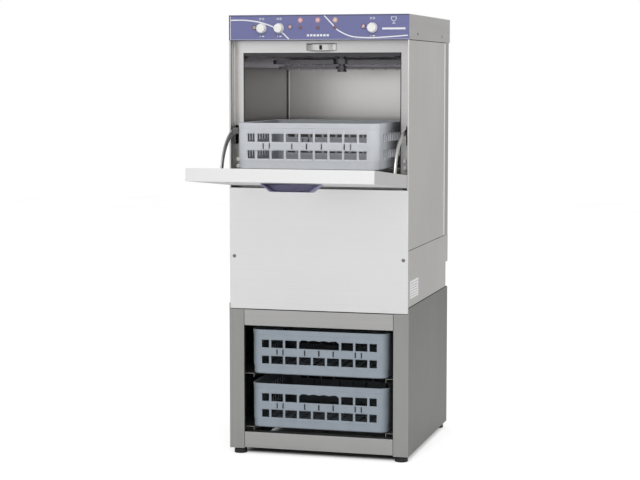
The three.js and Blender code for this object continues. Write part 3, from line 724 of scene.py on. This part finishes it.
def liner_ring(bm, half, front, back, inset, z):
    """Vertices round the liner's three walls at one height, from the left front edge to the right."""
    r = max(LEAST_CORNER, LINER_CORNER - inset)
    corner = half - inset - r
    depth = back - inset - r
    plan = [(-half + inset, front), (-half + inset, (front + depth) / 2)]
    turns = [math.radians(90 * i / LINER_STEPS) for i in range(LINER_STEPS + 1)]
    plan += [(-corner - r * math.cos(t), depth + r * math.sin(t)) for t in turns]
    plan += [(0, back - inset)]
    plan += [(corner + r * math.sin(t), depth + r * math.cos(t)) for t in turns]
    plan += [(half - inset, (front + depth) / 2), (half - inset, front)]
    return [bm.verts.new(Vector((x, y, z)) * MM) for x, y in plan]


def build_liner():
    """The chamber's drawn liner: round upright corners, and a cove all round its ceiling."""
    lo, hi = (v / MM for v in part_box("wash_chamber"))
    half, back, top = hi.x - LINER_SHEET, hi.y - LINER_SHEET, hi.z - LINER_SHEET
    plan = (half, lo.y, back)
    spring = top - LINER_COVE
    bm = bmesh.new()
    heights = (lo.z, (lo.z + spring) / 2, spring)
    bridge(bm, [liner_ring(bm, *plan, 0, z) for z in heights], closed=False)
    walls = piece("chamber_walls", bm, CHAMBER_STEEL, "cabinet")
    thicken(walls, LINER_SHEET, 1)
    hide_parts("wash_chamber")
    bm = bmesh.new()
    rings = []
    for i in range(LINER_STEPS + 1):
        turn = math.radians(90 * i / LINER_STEPS)
        inset = LINER_COVE * (1 - math.cos(turn))
        rings.append(liner_ring(bm, *plan, inset, spring + LINER_COVE * math.sin(turn)))
    bridge(bm, rings, closed=False)
    bm.faces.new(rings[-1])
    ceiling = piece("chamber_ceiling", bm, CEILING_STEEL, "cabinet")
    thicken(ceiling, LINER_SHEET, 1)


build_liner()

# A dark seal between the liner and the edge of the frame's mouth.
seal_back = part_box("wash_chamber")[0].y - 0.0001
seal_front = seal_back - 0.0018
seal_half, seal_foot, seal_top = 0.2032, 0.702, 1.0152
lip_half, lip_top = 0.2008, 1.0062  # the seal's inner edge
bm = bmesh.new()
slab(bm, (-seal_half, seal_front, seal_foot), (-lip_half, seal_back, seal_top))
slab(bm, (lip_half, seal_front, seal_foot), (seal_half, seal_back, seal_top))
slab(bm, (-seal_half, seal_front, lip_top), (seal_half, seal_back, seal_top))
piece("mouth_seal", bm, SEAL_GREY, "cabinet", smooth=False)

NOZZLES = (48, 82, 116, 146)  # distances of the jets along each half of an arm
STAGGER = 3.0  # how far the jets of a wide arm stand off its middle, by turns
WIDE_ARM = 0.04
BLADE_SHARE = 0.8  # the hub stands higher than the blade


def add_nozzles(arm, upward):
    """Bright jet caps along a spray arm, on the face that looks at the rack."""
    lo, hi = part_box(arm)
    middle = (lo + hi) / 2
    face = lo.z + BLADE_SHARE * (hi.z - lo.z) if upward else lo.z
    direction = (0, 0, 1 if upward else -1)
    bm = bmesh.new()
    for side in (-1, 1):
        for k, reach in enumerate(NOZZLES):
            offset = (STAGGER if k % 2 else -STAGGER) * side if hi.y - lo.y > WIDE_ARM else 0.0
            origin = Vector((middle.x + side * reach * MM, middle.y + offset * MM, face))
            cap = [(0, -0.4), (4.2, -0.4), (4.2, 0.9), (3.2, 1.8), (1.3, 2.0), (1.2, 1.2), (0, 1.2)]
            lathe(bm, cap, facing(direction, origin), 20)
    piece(f"{arm}_jets", bm, POLISHED, arm)


for arm in LOWER_ARMS:
    add_nozzles(arm, True)
for arm in UPPER_ARMS:
    add_nozzles(arm, False)


# ------------------------------------------------------------------ fascia

FASCIA_LOW, FASCIA_HIGH = (v.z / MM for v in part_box("control_panel"))
INK_FACE, INK_BACK = -0.16, 0.05  # the ink stands a little proud of the fascia


def fascia_z(share):
    """Height of a point that many parts of the way up the fascia."""
    return FASCIA_LOW + share * (FASCIA_HIGH - FASCIA_LOW)


def ink(bm, path, width, closed=False):
    """A printed line along (x, z) points."""
    ribbon(bm, path, width, INK_FACE, INK_BACK, closed)


SWEEP_WIDTH = 2.9
SWEEPS = {
    "fascia_left_sweep": (
        (-226, 0.795),
        (-187.5, 0.794),
        (-146, 0.697),
        (-112.4, 0.503),
        (-89.3, 0.263),
        (-73.9, 0.024),
    ),
    "fascia_right_sweep": (
        (15.6, 0.968),
        (38.4, 0.584),
        (48.5, 0.406),
        (71.3, 0.208),
        (94, 0.108),
        (136.7, 0.076),
        (181.6, 0.111),
        (226.4, 0.161),
    ),
}
for name, points in SWEEPS.items():
    bm = bmesh.new()
    path = smooth_path([(x, fascia_z(share)) for x, share in points])
    ink(bm, path, SWEEP_WIDTH)
    piece(name, bm, INK_WHITE, "cabinet", smooth=False)

# A pale line up the left end and along the foot. Outside it, a dark line up the left end and
# along the top.
bm = bmesh.new()
line_x, dark_x, dark_z, far_x = -226, -228, FASCIA_HIGH - 2, 229
ink(bm, [(line_x, FASCIA_LOW + 1), (line_x, FASCIA_HIGH - 3)], 1.3)
ink(bm, [(line_x + 0.65, FASCIA_LOW + 1.3), (far_x, FASCIA_LOW + 1.3)], 0.6)
piece("fascia_border", bm, INK_WHITE, "cabinet", smooth=False)
bm = bmesh.new()
ink(bm, [(dark_x, FASCIA_LOW + 1), (dark_x, FASCIA_HIGH - 3)], 2.0)
ink(bm, [(dark_x - 1, dark_z), (far_x, dark_z)], 2.0)
piece("fascia_dark_edge", bm, INK_DARK, "cabinet", smooth=False)

# Plain marks by the knobs: two rings above and two bars below each.
KNOBS = ("knob_left", "knob_centre", "knob_right")
marks_high, marks_low = fascia_z(0.84), fascia_z(0.15)
bm = bmesh.new()
for node in KNOBS:
    lo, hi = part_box(node)
    x = (lo.x + hi.x) / 2 / MM
    for dx in (-3.6, 3.6):
        ink(bm, circle(x + dx, marks_high, 2.2, 14), 1.0, closed=True)
    ink(bm, [(x - 4, marks_low - 2.2), (x - 4, marks_low + 2.2)], 1.2)
    ink(bm, [(x + 0.5, marks_low), (x + 6, marks_low)], 2.6)
piece("fascia_knob_marks", bm, INK_WHITE, "cabinet", smooth=False)

# A generic stemmed glass over a plain bar, and a row of plain dashes.
BAR_HALF, BAR_HIGH = 29, 4.6
DASH_PITCH, DASH_HALF, DASH_HIGH = 8.4, 2.9, 5.4
bm = bmesh.new()
glass_x, glass_z = 191.5, fascia_z(0.77)
bar_z, dash_z = fascia_z(0.43), fascia_z(0.18)
bowl = [(glass_x - 6.5, glass_z + 7), (glass_x - 5, glass_z), (glass_x, glass_z - 3.4)]
ink(bm, smooth_path(bowl, 5), 1.3)
ink(bm, smooth_path([(2 * glass_x - x, z) for x, z in bowl], 5), 1.3)
ink(bm, [(glass_x - 6.5, glass_z + 7), (glass_x + 6.5, glass_z + 7)], 1.1)
ink(bm, [(glass_x, glass_z - 3.4), (glass_x, glass_z - 8)], 1.3)
ink(bm, [(glass_x - 4, glass_z - 8.4), (glass_x + 4, glass_z - 8.4)], 1.3)
ink(bm, [(glass_x - BAR_HALF, bar_z), (glass_x + BAR_HALF, bar_z)], BAR_HIGH)
for x in (i * DASH_PITCH for i in range(-3, 4)):
    ink(bm, [(x - DASH_HALF, dash_z), (x + DASH_HALF, dash_z)], DASH_HIGH)
piece("fascia_plain_marks", bm, INK_WHITE, "cabinet", smooth=False)


def lamp(name, x, share, r, finish, bezel=True):
    """A domed lens on the fascia, in a thin bezel or bare."""
    place = facing((0, -1, 0), at(x, 0, fascia_z(share)))
    bm = bmesh.new()
    dome = [(0, -0.5), (r, -0.5), (r, 0.6), (r * 0.92, 1.3), (r * 0.7, 2.0), (r * 0.38, 2.4)]
    lathe(bm, [*dome, (0, 2.5)], place, 28)
    piece(name, bm, finish, "cabinet")
    if bezel:
        bm = bmesh.new()
        rim = [(r - 0.1, 0.0), (r - 0.1, 1.2), (r + 0.5, 1.4), (r + 1.2, 0.9), (r + 1.4, 0.0)]
        lathe(bm, rim, place, 28)
        bmesh.ops.holes_fill(bm, edges=[e for e in bm.edges if e.is_boundary], sides=4)
        piece(f"{name}_bezel", bm, BEZEL, "cabinet")


LAMP_RADIUS, LED_RADIUS = 4.8, 4.4
lamp("lamp_left", -163.5, 0.50, LAMP_RADIUS, LAMP_AMBER)
lamp("lamp_centre", -71.2, 0.52, LAMP_RADIUS, LAMP_PINK)
lamp("lamp_right", 115.3, 0.52, LAMP_RADIUS, LAMP_PINK)
icon_z = fascia_z(0.78)
for name, x, finish in (
    ("icon_left", -44.8, ICON_PINK),
    ("icon_centre", -0.2, ICON_PINK),
    ("icon_right", 43.9, ICON_ORANGE),
):
    place = facing((0, -1, 0), at(x, 0, icon_z))
    bm = bmesh.new()
    disc = [(0, -0.3), (6.6, -0.3), (6.6, 0.5), (6.1, 0.9), (0, 1.0)]
    lathe(bm, disc, place, 32)
    piece(name, bm, finish, "cabinet")
    bm = bmesh.new()
    ribbon(bm, circle(x, icon_z, 2.6, 18), 1.2, -1.15, -0.9, closed=True)
    piece(f"{name}_ring", bm, INK_WHITE, "cabinet", smooth=False)
    lamp(f"{name}_led", x, 0.49, LED_RADIUS, LED_RED, bezel=False)

KNOB_FLUTES = 10
FLUTE_DEPTH = 0.55
POINTER_TAPER = 0.8


def build_knob(node):
    """A moulded knob: a fluted skirt, a domed cap and a pointer ridge."""
    lo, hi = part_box(node)
    centre = Vector(((lo.x + hi.x) / 2, FASCIA_FACE, (lo.z + hi.z) / 2))
    place = facing((0, -1, 0), centre)

    def fluted(r, h, angle):
        depth = FLUTE_DEPTH * max(0.0, min(1.0, (h - 2.5) / 4)) if r > 8 else 0.0
        return r - depth * (1 - math.cos(KNOB_FLUTES * angle))

    bm = bmesh.new()
    profile = [
        (0, -12.6),
        (2.9, -12.6),
        (2.9, 0.6),
        (12.2, 0.6),
        (12.7, 1.0),
        (12.7, 2.4),
        (12.2, 3.2),
        (11.6, 12.0),
        (11.1, 13.4),
        (10.2, 14.1),
        (6.0, 14.35),
        (0, 14.4),
    ]
    lathe(bm, profile, place, 60, fluted)
    knob = piece(f"{node}_cap", bm, KNOB_CREAM, node)
    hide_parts(node)
    bm = bmesh.new()
    ridge = [(-0.9, 4.0), (0.9, 4.0), (0.9, 11.4), (-0.9, 11.4)]
    low = [bm.verts.new(centre + Vector((x, -14.0, z)) * MM) for x, z in ridge]
    high = [bm.verts.new(centre + Vector((x * POINTER_TAPER, -14.9, z)) * MM) for x, z in ridge]
    bridge(bm, [low, high])
    bm.faces.new(low)
    bm.faces.new(high)
    soften(piece(f"{node}_pointer", bm, KNOB_CREAM, node), 0.2)


for node in KNOBS:
    build_knob(node)


# ------------------------------------------------------------------ fixings and labels


def hexagon(r, angle):
    """Distance to the side of a hexagon that is r across its half flats."""
    folded = (angle + math.pi / 6) % (math.pi / 3) - math.pi / 6
    return r / math.cos(folded)


def socket_screw(bm, origin, direction, r, high):
    """A button-head screw with a hexagon socket."""
    profile = [
        (0, -0.6),
        (r, -0.6),
        (r, 0.3),
        (r * 0.93, high * 0.5),
        (r * 0.75, high * 0.85),
        (r * 0.52, high),
        (r * 0.34, high),
        (r * 0.33, high * 0.35),
        (0, high * 0.35),
    ]

    def shaped(radius, h, angle):
        return hexagon(radius, angle) if radius < r * 0.4 else radius

    lathe(bm, profile, facing(direction, origin), 24, shaped)


def nut(bm, origin, direction, r=5.0, high=4.2, hole=2.4):
    """A hexagon nut on the end of a threaded pin."""

    def shaped(radius, h, angle):
        if radius >= r * 0.8:
            return min(hexagon(radius, angle), r * 1.12)
        return radius

    profile = [
        (0, -0.2),
        (r, -0.2),
        (r, high - 0.5),
        (r * 0.88, high),
        (hole, high),
        (hole, high + 1.2),
        (hole * 0.8, high + 1.6),
        (0, high + 1.6),
    ]
    lathe(bm, profile, facing(direction, origin), 24, shaped)


def build_catch():
    """The catch's pressed cover: bowed in plan, with the slot that the door's strike enters."""
    lo, hi = (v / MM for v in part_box("catch_housing"))
    half, deep = hi.x, hi.y - lo.y - 0.1
    slot_half, slot_low, slot_high = 3.5, lo.z + 4.5, hi.z - 4.5
    end_depth = 0.12  # share of the depth that the bow keeps at its ends
    stops = [half * i / 14 for i in range(2, 15)]
    xs = [-x for x in reversed(stops)] + [-slot_half, slot_half] + stops
    round_over = 1.6
    rows = (  # height, share of the bow that shows
        (lo.z + round_over, 0.0),
        (lo.z, 0.35),
        (lo.z + 0.6, 0.8),
        (lo.z + round_over * 1.5, 1.0),
        (slot_low, 1.0),
        (slot_high, 1.0),
        (hi.z - round_over * 1.5, 1.0),
        (hi.z - 0.6, 0.8),
        (hi.z, 0.0),
    )
    bm = bmesh.new()
    grid = []
    for z, share in rows:
        row = []
        for x in xs:
            bow = 1 - abs(x / half) ** 3.2
            droop = 2.2 * (1 - bow) if z <= lo.z + round_over * 1.5 else 0.0
            y = hi.y - deep * share * (end_depth + (1 - end_depth) * bow)
            row.append(bm.verts.new(Vector((x, y, z + droop)) * MM))
        grid.append(row)
    for j in range(len(rows) - 1):
        for i in range(len(xs) - 1):
            if rows[j][0] == slot_low and xs[i] == -slot_half:
                continue
            bm.faces.new((grid[j][i], grid[j][i + 1], grid[j + 1][i + 1], grid[j + 1][i]))
    cover = piece("catch_cover", bm, CATCH_STEEL, "cabinet")
    thicken(cover, 1.0, -1)
    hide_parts("catch_housing")


build_catch()


def add_screws(name, finish, size, places):
    """Screws of one size, each given by the point under its head and the way it faces."""
    bm = bmesh.new()
    for origin, direction in places:
        socket_screw(bm, Vector(origin), direction, *size)
    piece(name, bm, finish, "cabinet")


front_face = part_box("front_panel")[0].y
hood_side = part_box("top_cover")[1].x
rear_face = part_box("rear_panel")[1].y
hood_ys = [at(0, y, 0).y for y in (98, 402)]
front_places = [((x, front_face, 0.506), (0, -1, 0)) for x in (-0.218, 0.218)]
hood_places = [((side * hood_side, y, 1.061), (side, 0, 0)) for side in (-1, 1) for y in hood_ys]
rear_places = [((x, rear_face, z), (0, 1, 0)) for x in (-0.214, 0.214) for z in (0.4, 0.62, 0.82, 1.03)]
add_screws("front_panel_screws", DARK_STEEL, (4.6, 2.2), front_places)
add_screws("hood_screws", DARK_STEEL, (3.4, 1.6), hood_places)
add_screws("rear_screws", POLISHED, (3.4, 1.6), rear_places)


def mirrored(side, near, far):
    """Two distances from the middle as ordered X values on one side."""
    return sorted((side * near, side * far))


SIDES = ((-1, "left"), (1, "right"))

# Plates that narrow the frame's slots to the thickness of the stay arms.
SLOT_NEAR, SLOT_FAR, SLOT_FOOT, SLOT_TOP = 0.2105, 0.2275, 0.782, 0.838
frame_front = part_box("front_frame")[0].y
for side, name in SIDES:
    lo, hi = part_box(f"{name}_stay_arm")
    near, far = sorted((abs(lo.x), abs(hi.x)))
    bm = bmesh.new()
    for edges in ((far + 0.0006, SLOT_FAR), (SLOT_NEAR, near - 0.0005)):
        x0, x1 = mirrored(side, *edges)
        slab(bm, (x0, frame_front - 0.0003, SLOT_FOOT), (x1, frame_front + 0.0009, SLOT_TOP))
    soften(piece(f"{name}_stay_arm_slot_plate", bm, FRAME_STEEL, "cabinet"), 0.3)

# The folded edge of the frame in a lighter steel, a painted highlight, the shadow seam of the side
# panel's return beside it, and the nuts on the hinge brackets.
FOLD_NEAR, FOLD_FAR, FOLD_FOOT = 0.003, 0.0008, 0.84  # the first two are in from the frame's edge
SEAM_FOOT, SEAM_AHEAD, SEAM_WIDTH = 0.70, 0.0175, 0.003
BRACKET_NUTS = ((215, 25.2, 732), (215, 25.2, 749))
frame_edge, frame_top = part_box("front_frame")[1].x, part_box("front_frame")[1].z - 0.001
for side, name in SIDES:
    bm = bmesh.new()
    x0, x1 = mirrored(side, frame_edge - FOLD_NEAR, frame_edge - FOLD_FAR)
    slab(bm, (x0, frame_front - 0.0005, FOLD_FOOT), (x1, frame_front + 0.0002, frame_top))
    soften(piece(f"{name}_frame_fold", bm, HEM_HIGHLIGHT_STEEL, "cabinet"), 0.4)
    bm = bmesh.new()
    x0, x1 = mirrored(side, frame_edge - 0.0001, frame_edge + 0.0006)
    seam = frame_front - SEAM_AHEAD
    slab(bm, (x0, seam, SEAM_FOOT), (x1, seam + SEAM_WIDTH, frame_top))
    piece(f"{name}_return_seam", bm, GREY, "cabinet", smooth=False)
    bm = bmesh.new()
    for x, y, z in BRACKET_NUTS:
        nut(bm, at(side * x, y, z), (0, -1, 0), 4.7, 1.8, 2.2)
    piece(f"{name}_bracket_nuts", bm, CATCH_STEEL, "cabinet")

# The folded rear edge of each side panel in a lighter steel, a painted highlight, and the shadow gaps
# over and under the panel.
HEM_INSET = 0.009
side_lo, side_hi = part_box("right_side_panel")
stand_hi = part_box("stand_right_side")[1]
hem = side_hi.y - HEM_INSET
for side, name in SIDES:
    face = side * side_hi.x
    bm = bmesh.new()
    foot = Vector((face, hem, side_lo.z))
    tall = (side_hi.z - side_lo.z) / MM
    bead = [(0, 1.0), (1.2, 1.0), (1.7, 1.6), (1.7, tall / 2), (1.7, tall - 2.4), (1.2, tall - 1.8)]
    lathe(bm, [*bead, (0, tall - 1.8)], Matrix.Translation(foot), 20)
    piece(f"{name}_side_hem", bm, HEM_HIGHLIGHT_STEEL, "cabinet")
    bm = bmesh.new()
    x0, x1 = mirrored(side, side_hi.x, side_hi.x + 0.0004)
    slab(bm, (x0, hem, side_lo.z + 0.001), (x1, side_hi.y, side_hi.z - 0.0018))
    piece(f"{name}_hem_return", bm, REAR_STEEL, "cabinet", smooth=False)
    bm = bmesh.new()
    x0, x1 = mirrored(side, side_hi.x - 0.0008, side_hi.x + 0.0003)
    for y1, z0, z1 in (
        (side_hi.y, side_hi.z - 0.0012, side_hi.z + 0.0006),
        (side_hi.y, side_lo.z - 0.0006, side_lo.z + 0.0008),
        (stand_hi.y - 0.004, stand_hi.z - 0.0002, stand_hi.z + 0.0016),
    ):
        slab(bm, (x0, side_lo.y + 0.004, z0), (x1, y1, z1))
    piece(f"{name}_panel_gaps", bm, RUBBER, "cabinet", smooth=False)

# Bolts that hold the guides to the stand's sides.
BOLT_SHARES = (0.1, 0.42, 0.9)  # how far along its guide each bolt stands
FLANGE_SHEET = 0.0016
bm = bmesh.new()
for level in LEVELS:
    for side, name in SIDES:
        lo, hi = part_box(f"{level}_{name}_guide")
        flange = side * (max(abs(lo.x), abs(hi.x)) - FLANGE_SHEET)
        for share in BOLT_SHARES:
            y = lo.y + share * (hi.y - lo.y)
            nut(bm, Vector((flange, y, hi.z - 0.009)), (-side, 0, 0))
piece("guide_bolts", bm, POLISHED, "cabinet")

# Painted shadow on the inner face of the stand's back: a near-black sheet.
bm = bmesh.new()
lo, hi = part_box("stand_back_panel")
slab(bm, (lo.x + 0.003, lo.y - 0.0004, lo.z + 0.002), (hi.x - 0.003, lo.y + 0.0002, hi.z - 0.002))
piece("stand_back_inner_face", bm, SHADOW_STEEL, "cabinet", smooth=False)

# Pressed louvres high on the rear panel.
LOUVRE_COLUMNS, LOUVRE_ROWS = (-0.11, 0, 0.11), 7
LOUVRE_TOP, LOUVRE_PITCH = 0.94, 0.016
LOUVRE_LIP = ((0.0, 0.0), (2.6, -2.6), (3.2, -5.6), (2.7, -6.0), (2.0, -3.2), (-0.4, -0.6))
LOUVRE_ENDS = ((-0.044, 0.15), (-0.038, 1.0), (0.038, 1.0), (0.044, 0.15))  # across, share of depth
bm = bmesh.new()
for x in LOUVRE_COLUMNS:
    for row in range(LOUVRE_ROWS):
        z = LOUVRE_TOP - row * LOUVRE_PITCH
        ends = [
            [bm.verts.new((x + across, rear_face + y * MM * share, z + h * MM)) for y, h in LOUVRE_LIP]
            for across, share in LOUVRE_ENDS
        ]
        bridge(bm, ends)
        bm.faces.new(ends[0])
        bm.faces.new(ends[-1])
piece("rear_louvres", bm, REAR_STEEL, "cabinet")

# The joints between the stand's rails and its posts.
JOINT_HALF = 0.0006
bm = bmesh.new()
for rail in ("stand_top_rail", "stand_bottom_rail"):
    lo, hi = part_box(rail)
    for end in (lo.x, hi.x):
        slab(bm, (end - JOINT_HALF, lo.y - 0.0002, lo.z), (end + JOINT_HALF, lo.y + 0.0008, hi.z))
piece("stand_rail_joints", bm, RUBBER, "cabinet", smooth=False)

# A blank rating plate low on the right side, with plain rules.
RULES, RULE_PITCH, RULE_HIGH = 6, 0.0064, 0.0008
bm = bmesh.new()
side_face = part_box("base_pan")[1].x
lo, hi = at(0, 24, 408), at(0, 118, 452)
slab(bm, (side_face - 0.0002, lo.y, lo.z), (side_face + 0.0003, hi.y, hi.z))
piece("rating_plate_blank", bm, LABEL, "cabinet", smooth=False)
bm = bmesh.new()
for row in range(RULES):
    z = hi.z - 0.006 - row * RULE_PITCH
    slab(bm, (side_face + 0.0002, lo.y + 0.007, z - RULE_HIGH), (side_face + 0.0004, hi.y - 0.012, z))
piece("rating_plate_rules", bm, GREY, "cabinet", smooth=False)


# ------------------------------------------------------------------ stage, light and camera


AMBIENT = 0.48
BACKDROP = 1.0
FLOOR_GLOW = 0.04
FLOOR_SHOWN_GLOW = 0.6
FLOOR_HALF = 9
SHADE_HALF = 0.19  # the shade under the stand is full this far from the middle
SHADE_EDGE = 0.03


def seen_level(tree, lighting, shown):
    """A level that the lens sees as shown, while everything else is lit by the lower one."""
    level = tree.nodes.new("ShaderNodeMapRange")
    level.inputs["To Min"].default_value = lighting
    level.inputs["To Max"].default_value = shown
    seen = tree.nodes.new("ShaderNodeLightPath").outputs["Is Camera Ray"]
    tree.links.new(seen, level.inputs["Value"])
    return level.outputs["Result"]


def add_floor():
    """A pale floor that the lens sees as white, with a soft shade under the stand."""
    bm = bmesh.new()
    slab(bm, (-FLOOR_HALF, -FLOOR_HALF, -0.02), (FLOOR_HALF, FLOOR_HALF, 0))
    mesh = bpy.data.meshes.new("studio_floor")
    bm.to_mesh(mesh)
    bm.free()
    s = Shader("studio_floor", roughness=0.9)
    pale = s.blend(
        s.spread(s.noise(2.0), 0.0, 1.0), tone((0.90, 0.90, 0.90)), tone((0.93, 0.93, 0.93))
    )
    lo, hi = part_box("stand_back_panel")
    split = s.add("ShaderNodeSeparateXYZ", Vector=s.place)
    across = s.spread(s.maths("ABSOLUTE", split.outputs["X"]), 0.0, 1.0, SHADE_HALF, hi.x)
    front = FASCIA_FACE + 0.02
    middle, reach = (front + hi.y) / 2, (hi.y - front) / 2
    along = s.maths("ABSOLUTE", s.maths("SUBTRACT", split.outputs["Y"], middle))
    open_floor = s.maths("MAXIMUM", across, s.spread(along, 0.0, 1.0, reach - SHADE_EDGE, reach))
    shaded = s.blend(open_floor, tone((0.2, 0.2, 0.2)), pale)
    s.link(shaded, "Base Color")
    s.link(shaded, "Emission Color")
    glow = seen_level(s.tree, FLOOR_GLOW, FLOOR_SHOWN_GLOW)
    s.link(s.maths("MULTIPLY", glow, open_floor), "Emission Strength")
    mesh.materials.append(s.material)
    floor = bpy.data.objects.new("studio_floor", mesh)
    scene.collection.objects.link(floor)


def area_light(name, position, target, size, power):
    """A rectangular light that the lens doesn't see."""
    data = bpy.data.lights.new(name, "AREA")
    data.shape = "RECTANGLE"
    data.size, data.size_y = size
    data.energy = power
    light = bpy.data.objects.new(name, data)
    light.location = position
    light.rotation_euler = (Vector(target) - Vector(position)).to_track_quat("-Z", "Y").to_euler()
    light.visible_camera = False
    scene.collection.objects.link(light)


def add_world():
    """A white backdrop that lights the object less than it shows behind it."""
    world = bpy.data.worlds.new("studio")
    scene.world = world
    world.use_nodes = True
    tree = world.node_tree
    backdrop = tree.nodes["Background"]
    backdrop.inputs["Color"].default_value = (1, 1, 1, 1)
    tree.links.new(seen_level(tree, AMBIENT, BACKDROP), backdrop.inputs["Strength"])


add_floor()
add_world()
area_light("front", (-1.5, -5.2, 1.5), (0, 0, 0.7), (3.2, 3.0), 18)
area_light("fill", (3.2, -4.1, 1.2), (0, 0, 0.7), (2.6, 2.6), 20)
area_light("key", (0.3, -3.5, 3.2), (0, 0, 0.7), (2.4, 2.0), 48)
area_light("side", (4.2, 1.2, 2.6), (0, 0, 0.9), (2.4, 2.4), 26)
scene.view_settings.view_transform = "Standard"

YAW = math.radians(15.267)
PITCH = math.radians(5.357)
VIEWPOINT = (1.1514, -4.2834, 0.9596)
camera_data = bpy.data.cameras.new("camera")
camera_data.sensor_width = 36
camera_data.lens = 98.9
camera = bpy.data.objects.new("camera", camera_data)
camera.location = VIEWPOINT
forward = Vector(
    (-math.sin(YAW) * math.cos(PITCH), math.cos(YAW) * math.cos(PITCH), -math.sin(PITCH))
)
camera.rotation_euler = forward.to_track_quat("-Z", "Y").to_euler()
scene.collection.objects.link(camera)
scene.camera = camera
